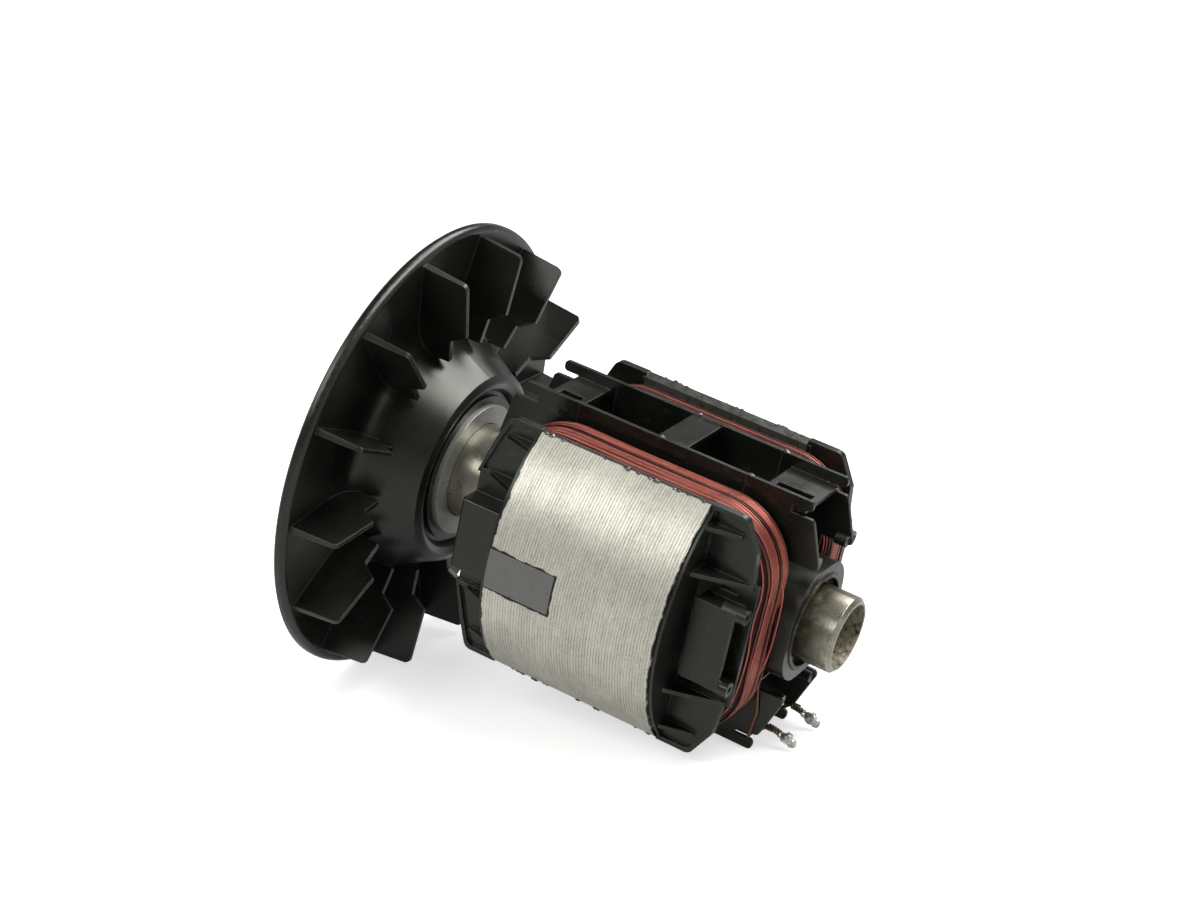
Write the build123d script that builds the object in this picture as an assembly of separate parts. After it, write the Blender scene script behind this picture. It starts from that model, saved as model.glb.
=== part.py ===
from build123d import *
from math import asin, atan2, cos, degrees, hypot, radians, sin, sqrt
import os

# Generator rotor, two poles, lying on its fan rim and on two of its moulded wall ends.
# Every piece is modelled about the shaft axis first: X runs along the shaft from the fan to the
# free end, zero is the fan side of the core, pole 1 faces -Y and one winding slot faces +Z.
# At the end one placement tips the whole rotor down onto the floor, as it comes to rest.

# Laminated core, millimetres
core_length = 59.0
pole_radius = 53.0
pole_half_angle = 49.5
pole_body_half_width = 22.5
shoe_depth = 21.5
tip_inner_height = 39.2

# Shaft
shaft_radius = 16.0
shaft_drive_end = -62.0
shoulder_x = 87.3
seat_radius = 12.5
seat_length = 11.3
seat_chamfer = 1.2
end_bore_radius = 10.4
end_bore_depth = 28.0
bolt_bore_radius = 5.0
taper_mouth_radius = 13.0
taper_depth = 32.0
taper_per_length = 3.0 / 16.0
face_groove_outer_radius = 14.7
face_groove_depth = 2.2
shaft_edge_chamfer = 0.5

# Fan: disc with a rounded rim, bell and blades, moulded round a steel bush
bush_radius = 22.3
bush_front = -37.7
bush_back = -60.0
bush_chamfer = 0.3
rim_radius = 76.3
rim_bead_radius = 2.0
rim_bead_x = -59.5
rim_back_chamfer = 0.8
rim_land = 0.2
disc_thickness = 2.6
disc_dish = 1.7
disc_dish_radius = 52.0
bell_foot_radius = 42.8
bell_foot_fillet = 9.0
bell_lip_x = -37.9
bell_lip_radius = 31.8
bell_wall = 2.6
lip_width = 3.4
lip_chamfer = 1.3
groove_depth = 3.2
groove_outer_radius = 26.2
collar_wall = 2.6
collar_front = -39.3
web_thickness = 3.0
back_rib_count = 7
back_rib_width = 1.8
blade_count = 14
blade_first_angle = -81.0
blade_root_gap = 2.8
blade_tip_gap = 4.6
blade_top_x = -41.7
blade_top_inner_radius = 52.0
blade_step_x = -47.3
blade_step_radius = 48.6
blade_heel_x = -47.9
blade_heel_radius = 40.2
blade_root_thickness = 2.4
blade_tip_thickness = 1.5
blade_corner_fillet = 2.0

# Magnets let flush into the pole faces at the fan side
magnet_length = 23.0
magnet_half_width = 6.8
magnet_depth = 5.0
magnet_gap = 0.25

# Moulded walls that part the two windings
wall_thickness = 1.2
wall_outer = 12.9
wall_top = 43.5
hook_bar_height = 3.5
hook_slot_height = 2.1
hook_end_fillet = 1.3
free_hook_reach = 22.9
free_slot_reach = 16.3
free_tab_top_reach = 24.0
free_tab_low_reach = 29.8
free_wall_reach = 19.0
fan_hook_reach = 19.6
fan_slot_reach = 14.3
fan_tab_top_reach = 22.5
fan_tab_low_reach = 25.5
fan_wall_reach = 17.5
tab_low_height = 22.4
tab_fillet = 1.6
tab_boss_radius = 1.8
tab_boss_length = 4.0

# Channel piece in each slot, with the strap that ties its walls at mid-length
channel_floor = 1.2
channel_end_gap = 0.1
strap_start = 27.0
strap_length = 10.5
strap_thickness = 1.4
strap_drop = 0.6

# Shelves between the walls at both ends
shelf_drop = 3.8
shelf_thickness = 1.4
shelf_slot_width = 10.0
shelf_slot_edge = 0.7
shelf_slot_border = 2.2
free_shelf_start = 4.0
free_shelf_length = 16.4
fan_shelf_start = 2.2
fan_shelf_length = 12.0
shelf_tab_height = 2.0

# End frames: end plate, sleeve block round the shaft, outer guards
end_plate_thickness = 2.0
face_plate_thickness = 1.2
face_plate_step = 0.8
sleeve_half_depth = 17.8
sleeve_half_height = 18.6
sleeve_fillet = 14.0
sleeve_clearance = 0.15
free_sleeve_length = 27.7
fan_sleeve_length = 22.0
guard_gap = 1.2
guard_floor_thickness = 1.5
guard_rise = 2.7
guard_rim_width = 1.5
guard_half_height = 40.8
wing_inner_height = 19.2
free_wing_corner_reach = 11.6
free_wing_side_reach = 17.3
free_wing_end_reach = 18.8
free_floor_reach = 20.3
fan_wing_corner_reach = 11.2
fan_wing_side_reach = 15.2
fan_wing_end_reach = 19.0
fan_floor_reach = 18.6
wing_side_height = 31.3
wing_corner_fillet = 3.0
wing_rib_height = 33.6
wing_rib_width = 1.3
wing_rib_rise = 3.4
pocket_half_height = 13.3
pocket_rise = 8.5
pocket_face_thickness = 1.6
pocket_start = 4.4
pocket_end = 17.4
pocket_side_wall = 1.2
post_radius = 2.4
post_hole_radius = 1.1
post_hole_depth = 6.0
post_start = 12.6
post_end = 20.6
post_inset = 0.9
stay_width = 0.9
stay_height = 15.8
stay_start = 8.5
stay_length = 6.0
block_half_height = 12.0
block_rise = 9.5
block_fillet = 0.8

# Insulating liner along each pole
liner_thickness = 0.8
liner_lip_share = 0.8

# Windings
coil_gap = 0.15
coil_top_gap = 0.2
coil_outer_height = 38.6
coil_free_reach = 21.8
coil_fan_reach = 16.9
coil_outer_corner = 22.0
coil_inner_corner = 1.2
coil_edge_chamfer = 2.6

# Rectifier diode, soldered pigtails and winding leads in the lower channel
wire_radius = 0.45
wire_gap = 0.05
diode_radius = 2.7
diode_length = 9.6
diode_reach = 13.0
diode_gap = 0.1
diode_lead_radius = 0.55
pigtail_side = 8.6
pigtail_reach = 25.0
pigtail_radius = 1.15
pigtail_length = 4.6
pigtail_droop = 12.0
solder_radius = 2.2
solder_length = 6.2
solder_waist_radius = 1.5
solder_tip_radius = 0.7
lead_start_drop = 2.1
lead_bow_reach = 22.2
lead_bow_height = 30.0
lead_shelf_gap = 0.5
lead_tail = 2.4
link_reach = 20.2

# How near a corner lies to the place it is looked for
place_reach = 0.01

stub_end = shoulder_x + seat_length
wall_inner = wall_outer - wall_thickness
coil_inner_height = pole_body_half_width + liner_thickness + coil_gap
coil_bottom = wall_outer + coil_gap
shoe_underside = pole_radius - shoe_depth
coil_top = shoe_underside - liner_thickness - coil_top_gap
guard_inner = coil_top + guard_gap
guard_rim_top = guard_inner + guard_rise
pocket_face_outer = guard_inner + pocket_rise
block_outer = guard_inner + block_rise
face_plate_radius = pole_radius - face_plate_step


def profile(points):
    """Flat outline in the plane that holds the shaft axis: along the shaft, then the radius."""
    return Plane.XZ * make_face(Polyline(*points, close=True))


def facing_pole(distance):
    """Plane square to the axis of pole 1, drawn in (along the shaft, height)."""
    return Plane(origin=(0, -distance, 0), x_dir=(1, 0, 0), z_dir=(0, -1, 0))


def across(x):
    """Plane square to the shaft, drawn in (Y, Z), with its normal toward the free end."""
    return Plane(origin=(x, 0, 0), x_dir=(0, 1, 0), z_dir=(1, 0, 0))


def slab(x, low_depth, high_depth, low_height, high_height, thickness):
    """Box from x along the shaft, given by its span outward from the axis and its height span."""
    width = high_depth - low_depth
    height = high_height - low_height
    middle = (x + thickness / 2, -(low_depth + high_depth) / 2, (low_height + high_height) / 2)
    return Pos(*middle) * Box(abs(thickness), width, height)


def rod(x, length, y, z, radius):
    """Round rod along the shaft's direction, from x to x + length."""
    return extrude(across(x) * Pos(y, z) * Circle(radius), length)


def opposite(part):
    """The same piece for pole 2 and the other slot: half a turn about the shaft."""
    return Rot(180, 0, 0) * part


def corners_at(sketch, places):
    """Corners of a sketch at the given places, for a sketch that lies in the XY or the XZ plane."""
    found = []
    for vertex in sketch.vertices():
        for along, up in places:
            if hypot(vertex.X - along, vertex.Y + vertex.Z - up) < place_reach:
                found.append(vertex)
                break
    return found


# Shaft: hollow, with a tapered socket at the drive end and a bearing seat at the free end
def build_shaft():
    taper_end = shaft_drive_end + taper_depth
    taper_inner_radius = taper_mouth_radius - taper_depth * taper_per_length / 2
    outline = [
        (shaft_drive_end, taper_mouth_radius),
        (shaft_drive_end, shaft_radius - shaft_edge_chamfer),
        (shaft_drive_end + shaft_edge_chamfer, shaft_radius),
        (shoulder_x - shaft_edge_chamfer, shaft_radius),
        (shoulder_x, shaft_radius - shaft_edge_chamfer),
        (shoulder_x, face_groove_outer_radius),
        (shoulder_x - face_groove_depth, face_groove_outer_radius),
        (shoulder_x - face_groove_depth, seat_radius),
        (stub_end - seat_chamfer, seat_radius),
        (stub_end, seat_radius - seat_chamfer),
        (stub_end, end_bore_radius),
        (stub_end - end_bore_depth, end_bore_radius),
        (stub_end - end_bore_depth - (end_bore_radius - bolt_bore_radius) / 2, bolt_bore_radius),
        (taper_end, bolt_bore_radius),
        (taper_end, taper_inner_radius),
    ]
    return revolve(profile(outline), Axis.X)


# Fan bush: turned steel ring, pressed on the shaft, with the fan moulded round it
def build_fan_bush():
    outline = [
        (bush_back, shaft_radius),
        (bush_back, bush_radius),
        (bush_front - bush_chamfer / 2, bush_radius),
        (bush_front, bush_radius - bush_chamfer / 2),
        (bush_front, shaft_radius + bush_chamfer),
        (bush_front - bush_chamfer, shaft_radius),
    ]
    return revolve(profile(outline), Axis.X)


# Fan: the turned form first, then the blades with mould draft, then ribs in the hollow back
def dish_floor_x():
    """Front of the disc inside its shallow dish, where the bell stands on it."""
    return rim_bead_x + rim_bead_radius - disc_dish


def bell_radius(x):
    """Outer radius of the bell's cone at x along the shaft."""
    slope = (bell_foot_radius - bell_lip_radius) / (dish_floor_x() - bell_lip_x)
    return bell_lip_radius + slope * (x - bell_lip_x)


def build_fan_body():
    rim_front = rim_bead_x + rim_bead_radius
    rim_back = rim_bead_x - rim_bead_radius
    rim_centre_radius = rim_radius - rim_bead_radius
    rim_corner = (rim_front, rim_radius)
    dish_x = dish_floor_x()
    groove_floor = bell_lip_x - groove_depth
    collar_radius = bush_radius + collar_wall
    cavity_floor = groove_floor - web_thickness
    back_x = dish_x - disc_thickness
    foot = (dish_x, bell_foot_radius)
    lip_outer = (bell_lip_x, bell_lip_radius)
    lip_inner = (bell_lip_x, bell_lip_radius - lip_width)
    outline = [
        (dish_x, disc_dish_radius),
        foot,
        lip_outer,
        lip_inner,
        (groove_floor, groove_outer_radius),
        (groove_floor, collar_radius),
        (collar_front, collar_radius),
        (collar_front, bush_radius),
        (bush_back, bush_radius),
        (bush_back, collar_radius),
        (cavity_floor, collar_radius),
        (cavity_floor, bell_radius(cavity_floor) - bell_wall),
        (back_x, bell_radius(back_x) - bell_wall),
        (rim_back, rim_centre_radius),
        (rim_back, rim_radius - rim_back_chamfer),
        (rim_back + rim_back_chamfer, rim_radius),
        rim_corner,
        (rim_front, rim_centre_radius - rim_land),
    ]
    section = profile(outline)
    section = fillet(corners_at(section, [rim_corner]), rim_bead_radius)
    section = fillet(corners_at(section, [foot]), bell_foot_fillet)
    section = chamfer(corners_at(section, [lip_outer, lip_inner]), lip_chamfer)
    return revolve(section, Axis.X)


def build_blade():
    root_x = rim_bead_x
    top_corner = (blade_top_x, rim_radius - blade_tip_gap)
    outline = [
        (root_x, rim_radius - blade_root_gap),
        top_corner,
        (blade_top_x, blade_top_inner_radius),
        (blade_step_x, blade_step_radius),
        (blade_heel_x, blade_heel_radius),
        (root_x, bell_foot_radius - bell_wall),
    ]
    side = profile(outline)
    side = fillet(corners_at(side, [top_corner]), blade_corner_fillet)
    face = extrude(side, blade_root_thickness, both=True)
    root = blade_root_thickness / 2
    tip = blade_tip_thickness / 2
    wedge = Polyline((root_x, root), (blade_top_x, tip), (blade_top_x, -tip), (root_x, -root), close=True)
    return face & extrude(make_face(wedge), rim_radius)


def build_fan():
    fan = build_fan_body()
    blade = build_blade()
    for index in range(blade_count):
        angle = blade_first_angle + index * 360.0 / blade_count
        # The blade is drawn toward +Z; angles are counted from pole 1 (-Y) toward the upper slot
        fan += Rot(90.0 - angle, 0, 0) * blade
    rib_top = bell_lip_x - groove_depth - web_thickness / 2
    rib_inner = bush_radius + collar_wall / 2
    rib_outline = [
        (rib_top, rib_inner),
        (rib_top, bell_radius(rib_top) - bell_wall / 2),
        (bush_back, bell_radius(bush_back) - bell_wall / 2),
        (bush_back, rib_inner),
    ]
    rib = extrude(profile(rib_outline), back_rib_width / 2, both=True)
    for index in range(back_rib_count):
        fan += Rot(index * 360.0 / back_rib_count, 0, 0) * rib
    return fan


# Laminated core: hub, two pole bodies and shoes, shaft hole, pockets for the magnets
def tip_point():
    angle = radians(pole_half_angle)
    return pole_radius * cos(angle), pole_radius * sin(angle)


def shoe_section(radius, under, tip_height):
    """Pole shoe between its flat underside and an arc, drawn in (Y, Z)."""
    angle = radians(pole_half_angle)
    outer_y = -radius * cos(angle)
    outer_z = radius * sin(angle)
    arc = ThreePointArc((outer_y, outer_z), (-radius, 0), (outer_y, -outer_z))
    sides = Polyline((outer_y, -outer_z), (-under, -tip_height), (-under, tip_height), (outer_y, outer_z))
    return make_face(arc + sides)


def build_core():
    body = Rectangle(2 * shoe_underside, 2 * pole_body_half_width)
    shoe = shoe_section(pole_radius, shoe_underside, tip_inner_height)
    sheet = body + shoe + Rot(0, 0, 180) * shoe - Circle(shaft_radius)
    core = extrude(across(0) * sheet, core_length)
    pocket = slab(
        0,
        pole_radius - magnet_depth,
        pole_radius + magnet_depth,
        -magnet_half_width,
        magnet_half_width,
        magnet_length,
    )
    core -= pocket
    core -= opposite(pocket)
    return core


def build_magnet():
    block = slab(
        0,
        pole_radius - magnet_depth,
        pole_radius + magnet_depth,
        -magnet_half_width + magnet_gap,
        magnet_half_width - magnet_gap,
        magnet_length - magnet_gap,
    )
    return block & rod(0, magnet_length, 0, 0, pole_radius)


# Insulating liner: along the pole body, under the shoe and up over the tip as a small lip
def build_liner():
    tip_depth, tip_height = tip_point()
    face_length = hypot(tip_depth - shoe_underside, tip_height - tip_inner_height)
    along = ((tip_depth - shoe_underside) / face_length, (tip_height - tip_inner_height) / face_length)
    lip_reach = face_length * liner_lip_share
    lip_end = (shoe_underside + along[0] * lip_reach, tip_inner_height + along[1] * lip_reach)
    lip_outer = (lip_end[0] - along[1] * liner_thickness, lip_end[1] + along[0] * liner_thickness)
    body_side = pole_body_half_width
    under = shoe_underside - liner_thickness
    outline = [
        (-wall_outer, body_side),
        (-shoe_underside, body_side),
        (-shoe_underside, tip_inner_height),
        (-lip_end[0], lip_end[1]),
        (-lip_outer[0], lip_outer[1]),
        (-under, tip_inner_height + liner_thickness / 2),
        (-under, body_side + liner_thickness),
        (-wall_outer, body_side + liner_thickness),
    ]
    return extrude(across(0) * make_face(Polyline(*outline, close=True)), core_length)


# Channel piece: floor on the core's flank, two walls, and a strap over the middle
def build_channel():
    start = channel_end_gap
    length = core_length - 2 * channel_end_gap
    floor = slab(start, -wall_outer, wall_outer, pole_body_half_width, pole_body_half_width + channel_floor, length)
    channel = floor
    for side in (-1, 1):
        low, high = sorted((side * wall_inner, side * wall_outer))
        channel += slab(start, low, high, pole_body_half_width, wall_top, length)
    strap_top = wall_top - strap_drop
    channel += slab(strap_start, -wall_outer, wall_outer, strap_top - strap_thickness, strap_top, strap_length)
    return channel


# Winding: closed racetrack round the pole body, hollowed where it passes the shaft sleeve
def build_coil():
    inner_fan = -end_plate_thickness - coil_gap
    inner_free = core_length + end_plate_thickness + coil_gap
    outer_fan = -coil_fan_reach
    outer_free = core_length + coil_free_reach
    outer = Pos((outer_fan + outer_free) / 2, 0) * RectangleRounded(
        outer_free - outer_fan, 2 * coil_outer_height, coil_outer_corner
    )
    inner = Pos((inner_fan + inner_free) / 2, 0) * RectangleRounded(
        inner_free - inner_fan, 2 * coil_inner_height, coil_inner_corner
    )
    coil = extrude(facing_pole(coil_bottom) * outer, coil_top - coil_bottom)
    outer_edges = coil.edges().group_by(Axis.Y)[0] + coil.edges().group_by(Axis.Y)[-1]
    coil = chamfer(outer_edges, coil_edge_chamfer)
    coil -= extrude(facing_pole(coil_bottom) * inner, coil_top - coil_bottom)
    sleeve = RectangleRounded(
        2 * (sleeve_half_depth + coil_gap), 2 * (sleeve_half_height + coil_gap), sleeve_fillet
    )
    coil -= extrude(across(outer_fan) * sleeve, outer_free - outer_fan)
    return coil


# Parts that both end frames share. "reach" values are counted from the core's end face outward;
# direction is +1 for the free side and -1 for the fan side.
def frame_wall(face, direction, hook_reach, slot_reach, tab_top_reach, tab_low_reach, wall_reach):
    def at(reach):
        return face + direction * reach

    slot_high = wall_top - hook_bar_height
    slot_low = slot_high - hook_slot_height
    hook_low = (at(hook_reach), slot_high)
    hook_high = (at(hook_reach), wall_top)
    tab_high = (at(tab_top_reach), slot_low)
    tab_low = (at(tab_low_reach), tab_low_height)
    upper = [
        (at(0), wall_top),
        hook_high,
        hook_low,
        (at(slot_reach), slot_high),
        (at(slot_reach), slot_low),
        tab_high,
        tab_low,
        (at(wall_reach), tab_low_height),
    ]
    lower = [(x, -height) for x, height in reversed(upper)]
    sheet = make_face(Polyline(*(upper + lower), close=True))
    for ends, radius in (((hook_low, hook_high), hook_end_fillet), ((tab_high, tab_low), tab_fillet)):
        both_ends = list(ends) + [(x, -height) for x, height in ends]
        sheet = fillet(corners_at(sheet, both_ends), radius)
    return extrude(facing_pole(wall_inner) * sheet, wall_thickness)


def frame_shelf(face, direction, start, length):
    """Shelf between the walls with a long slot beside wall 1."""
    top = wall_top - shelf_drop
    x = face + direction * start if direction > 0 else face - start - length
    shelf = slab(x, -wall_inner, wall_inner, top - shelf_thickness, top, length)
    slot_x = x + shelf_slot_border
    slot_length = length - 2 * shelf_slot_border
    shelf -= slab(
        slot_x,
        wall_inner - shelf_slot_edge - shelf_slot_width,
        wall_inner - shelf_slot_edge,
        top - 2 * shelf_thickness,
        top + shelf_thickness,
        slot_length,
    )
    return shelf


def wing_outline(face, direction, corner_reach, side_reach, end_reach, inset):
    """Outline of the upper wing of a guard, drawn in (along the shaft, height)."""
    def at(reach):
        return face + direction * reach

    corner = (at(corner_reach - inset / 2), guard_half_height - inset)
    sheet = make_face(
        Polyline(
            (at(0), guard_half_height - inset),
            corner,
            (at(side_reach - inset), wing_side_height),
            (at(end_reach - inset), wing_inner_height + inset),
            (at(0), wing_inner_height + inset),
            close=True,
        )
    )
    return fillet(corners_at(sheet, [corner]), wing_corner_fillet)


def mirrored_height(part):
    return mirror(part, Plane.XY)


def frame_guard(face, direction, corner_reach, side_reach, end_reach, floor_reach):
    """Outer guard: a floor, two tray-shaped wings with a rib each, and the plate on the shoe."""
    floor_top = guard_inner + guard_floor_thickness
    outer_sheet = wing_outline(face, direction, corner_reach, side_reach, end_reach, 0.0)
    inner_sheet = wing_outline(face, direction, corner_reach, side_reach, end_reach, guard_rim_width)
    wing = extrude(facing_pole(guard_inner) * outer_sheet, guard_rim_top - guard_inner)
    wing -= extrude(facing_pole(floor_top) * inner_sheet, guard_rim_top - floor_top)
    rib_end = side_reach - guard_rim_width / 2
    for height, rise, reach in (
        (wing_rib_height, wing_rib_rise, corner_reach),
        (wing_inner_height + guard_rim_width - wing_rib_width, 2 * wing_rib_rise, rib_end),
    ):
        rib_side = Polyline(
            (face, -floor_top + guard_floor_thickness / 2),
            (face + direction * reach, -floor_top + guard_floor_thickness / 2),
            (face + direction * reach, -guard_rim_top),
            (face + direction * face_plate_thickness, -guard_rim_top - rise),
            (face, -guard_rim_top - rise),
            close=True,
        )
        rib = extrude(Plane.XY.offset(height) * make_face(rib_side), wing_rib_width)
        wing += rib
    floor_x = face if direction > 0 else face - floor_reach
    floor = slab(floor_x, guard_inner, floor_top, -wing_inner_height - guard_rim_width, wing_inner_height + guard_rim_width, floor_reach)
    guard = wing + mirrored_height(wing) + floor
    plate_x = face if direction > 0 else face - face_plate_thickness
    plate_sheet = shoe_section(face_plate_radius, guard_inner - coil_gap, tip_inner_height)
    guard += extrude(across(plate_x) * plate_sheet, face_plate_thickness)
    return guard


def frame_sleeve(face, direction, length):
    """Block round the shaft."""
    start = face if direction > 0 else face - length
    sleeve = RectangleRounded(2 * sleeve_half_depth, 2 * sleeve_half_height, sleeve_fillet)
    return extrude(across(start) * sleeve, length)


def end_plate(face, direction):
    start = face if direction > 0 else face - end_plate_thickness
    plate = Rectangle(2 * guard_inner + guard_floor_thickness, 2 * pole_body_half_width)
    return extrude(across(start) * plate, end_plate_thickness)


def tab_bosses(x):
    """Small bosses on the inner side of the tab ends of wall 1, from x toward the free end."""
    y = -(wall_inner - tab_boss_radius * 0.8)
    bosses = None
    for side in (-1, 1):
        z = side * (tab_low_height + tab_boss_radius)
        boss = rod(x, tab_boss_length, y, z, tab_boss_radius)
        bosses = boss if bosses is None else bosses + boss
    return bosses


def wire_pocket(face):
    """Raised pocket on the free-side guard: a face plate on two side walls, with two end posts."""
    floor_top = guard_inner + guard_floor_thickness
    start = face + pocket_start
    length = pocket_end - pocket_start
    inner_face = pocket_face_outer - pocket_face_thickness
    pocket = slab(start, inner_face, pocket_face_outer, -pocket_half_height, pocket_half_height, length)
    for side in (-1, 1):
        low, high = sorted((side * (pocket_half_height - pocket_side_wall), side * pocket_half_height))
        pocket += slab(start, floor_top, pocket_face_outer, low, high, length)
        post_y = -(inner_face - post_inset)
        post_z = side * (pocket_half_height - post_inset)
        pocket += rod(face + post_start, post_end - post_start, post_y, post_z, post_radius)
        hole_x = face + post_end - post_hole_depth
        pocket -= rod(hole_x, post_hole_depth, post_y, post_z, post_hole_radius)
        low, high = sorted((side * stay_height, side * (stay_height + stay_width)))
        pocket += slab(face + stay_start, floor_top, guard_rim_top, low, high, stay_length)
    return pocket


def cut_for_shaft(frame, start, length):
    return frame - rod(start, length, 0, 0, shaft_radius + sleeve_clearance)


def build_free_frame():
    face = core_length
    half = frame_wall(
        face, 1, free_hook_reach, free_slot_reach, free_tab_top_reach, free_tab_low_reach, free_wall_reach
    )
    half += frame_shelf(face, 1, free_shelf_start, free_shelf_length)
    half += frame_guard(
        face, 1, free_wing_corner_reach, free_wing_side_reach, free_wing_end_reach, free_floor_reach
    )
    half += wire_pocket(face)
    half += tab_bosses(face + free_tab_low_reach - tab_fillet - tab_boss_length)
    frame = half + opposite(half) + frame_sleeve(face, 1, free_sleeve_length) + end_plate(face, 1)
    return cut_for_shaft(frame, face, free_sleeve_length + free_tab_low_reach)


def build_fan_frame():
    face = 0.0
    half = frame_wall(
        face, -1, fan_hook_reach, fan_slot_reach, fan_tab_top_reach, fan_tab_low_reach, fan_wall_reach
    )
    half += frame_shelf(face, -1, fan_shelf_start, fan_shelf_length)
    half += frame_guard(
        face, -1, fan_wing_corner_reach, fan_wing_side_reach, fan_wing_end_reach, fan_floor_reach
    )
    block = slab(
        face - fan_floor_reach, guard_inner, block_outer, -block_half_height, block_half_height, fan_floor_reach
    )
    half += fillet(block.edges().group_by(Axis.Y)[0], block_fillet)
    frame = half + opposite(half) + frame_sleeve(face, -1, fan_sleeve_length) + end_plate(face, -1)
    return cut_for_shaft(frame, face - fan_tab_low_reach, fan_tab_low_reach)


# Rectifier diode across the lower channel, its leads bent toward the free end
def solder_height():
    """Height of the diode, its leads and the pigtails: the diode lies on the lower shelf."""
    shelf_inner = wall_top - shelf_drop - shelf_thickness
    return -(shelf_inner - diode_gap - diode_radius)


def build_diode():
    x = core_length + diode_reach
    z = solder_height()
    pigtail_x = core_length + pigtail_reach
    diode = Pos(x, 0, z) * Rot(90, 0, 0) * Cylinder(diode_radius, diode_length)
    for side in (-1, 1):
        start = (x, side * (diode_length / 2 - diode_lead_radius), z)
        bend = (x, side * pigtail_side, z)
        end = (pigtail_x, side * pigtail_side, z)
        ring = Plane(origin=start, z_dir=(0, side, 0)) * Circle(diode_lead_radius)
        diode += sweep(ring, path=Polyline(start, bend, end), transition=Transition.RIGHT)
    return diode


# Pigtails: the twisted wire ends past the walls, drooping a little, each with a lump of solder
def build_pigtail(side):
    blob = pigtail_length + solder_length / 3
    tip = pigtail_length + solder_length
    outline = [
        (0, 0),
        (0, pigtail_radius),
        (pigtail_length, pigtail_radius),
        (blob, solder_radius),
        (tip - solder_length / 3, solder_waist_radius),
        (tip, solder_tip_radius),
        (tip, 0),
    ]
    turned = revolve(profile(outline), Axis.X)
    start = core_length + pigtail_reach + pigtail_radius * sin(radians(pigtail_droop))
    place = Pos(start, side * pigtail_side, solder_height())
    return place * Rot(0, pigtail_droop, 0) * turned


def coil_edge_x():
    """Where a wire lies in the groove between the wall and the sloping edge of the winding."""
    slope_x = core_length + coil_free_reach - coil_edge_chamfer
    depth = wall_outer + wire_radius + wire_gap - coil_bottom
    return slope_x + depth + (wire_radius + wire_gap) * sqrt(2)


# Winding lead: down the outer face of its wall, in through the hook slot, along the pigtail
def build_lead(side):
    outer = side * (wall_outer + wire_radius + wire_gap)
    beside = side * (pigtail_side + pigtail_radius + wire_radius + wire_gap)
    slot_z = -(wall_top - hook_bar_height - hook_slot_height / 2)
    slot_x = core_length + free_shelf_start + free_shelf_length + lead_shelf_gap + wire_radius
    pigtail_x = core_length + pigtail_reach
    points = [
        (coil_edge_x(), outer, -(sleeve_half_height + lead_start_drop)),
        (core_length + lead_bow_reach, outer, -lead_bow_height),
        (slot_x, outer, slot_z),
        (slot_x, beside, slot_z),
        (pigtail_x, beside, solder_height()),
        (pigtail_x + lead_tail, beside, solder_height()),
    ]
    path = Polyline(*points)
    ring = Plane(origin=path @ 0, z_dir=path % 0) * Circle(wire_radius)
    return sweep(ring, path=path, transition=Transition.RIGHT)


# Link that joins the two windings in series, across under the sleeve block
def build_link():
    x = core_length + link_reach
    z = -(sleeve_half_height + wire_radius + wire_gap)
    slope_x = core_length + coil_free_reach - coil_edge_chamfer
    reach = coil_bottom + x - wire_radius - slope_x - wire_gap
    return extrude(Plane(origin=(x, -reach, z), z_dir=(0, 1, 0)) * Circle(wire_radius), 2 * reach)


pieces = {
    "rotor_shaft": build_shaft(),
    "fan_bush": build_fan_bush(),
    "cooling_fan": build_fan(),
    "lamination_stack": build_core(),
    "pole_magnet_1": build_magnet(),
    "pole_magnet_2": opposite(build_magnet()),
    "slot_channel_upper": build_channel(),
    "slot_channel_lower": opposite(build_channel()),
    "end_frame_fan_side": build_fan_frame(),
    "end_frame_free_side": build_free_frame(),
    "coil_pole_1": build_coil(),
    "coil_pole_2": opposite(build_coil()),
}
liner = build_liner()
pieces["slot_liner_1_upper"] = liner
pieces["slot_liner_1_lower"] = mirrored_height(liner)
pieces["slot_liner_2_lower"] = opposite(liner)
pieces["slot_liner_2_upper"] = opposite(mirrored_height(liner))

pieces["rectifier_diode"] = build_diode()
pieces["solder_pigtail_1"] = build_pigtail(-1)
pieces["solder_pigtail_2"] = build_pigtail(1)
pieces["winding_lead_1"] = build_lead(-1)
pieces["winding_lead_2"] = build_lead(1)
pieces["series_link"] = build_link()

# Resting place: the tilt at which the fan rim and the lower free-side hooks both meet the floor
rim_centre_height = -(rim_radius - rim_bead_radius)
hook_centre_x = core_length + free_hook_reach - hook_end_fillet
hook_centre_height = -(wall_top - hook_end_fillet)
rise = rim_centre_height - hook_centre_height
run = hook_centre_x - rim_bead_x
tilt = asin((rim_bead_radius - hook_end_fillet) / hypot(rise, run)) - atan2(rise, run)
floor_height = rim_centre_height * cos(tilt) - rim_bead_x * sin(tilt) - rim_bead_radius
print("tilt in degrees", round(degrees(tilt), 3), "axis height above the floor at x = 0", round(-floor_height, 3))

tipped = {name: Rot(0, degrees(tilt), 0) * solid for name, solid in pieces.items()}
boxes = [solid.bounding_box() for solid in tipped.values()]
middle_x = (min(box.min.X for box in boxes) + max(box.max.X for box in boxes)) / 2
middle_y = (min(box.min.Y for box in boxes) + max(box.max.Y for box in boxes)) / 2
shift = Pos(-middle_x, -middle_y, -floor_height)
print("shift", shift.position)

os.makedirs("parts", exist_ok=True)
for name, solid in tipped.items():
    export_step(shift * solid, f"parts/{name}.step")
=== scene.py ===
import logging
import math
import random
from dataclasses import dataclass
from enum import Enum

import bpy
from mathutils import Matrix, Vector


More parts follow.
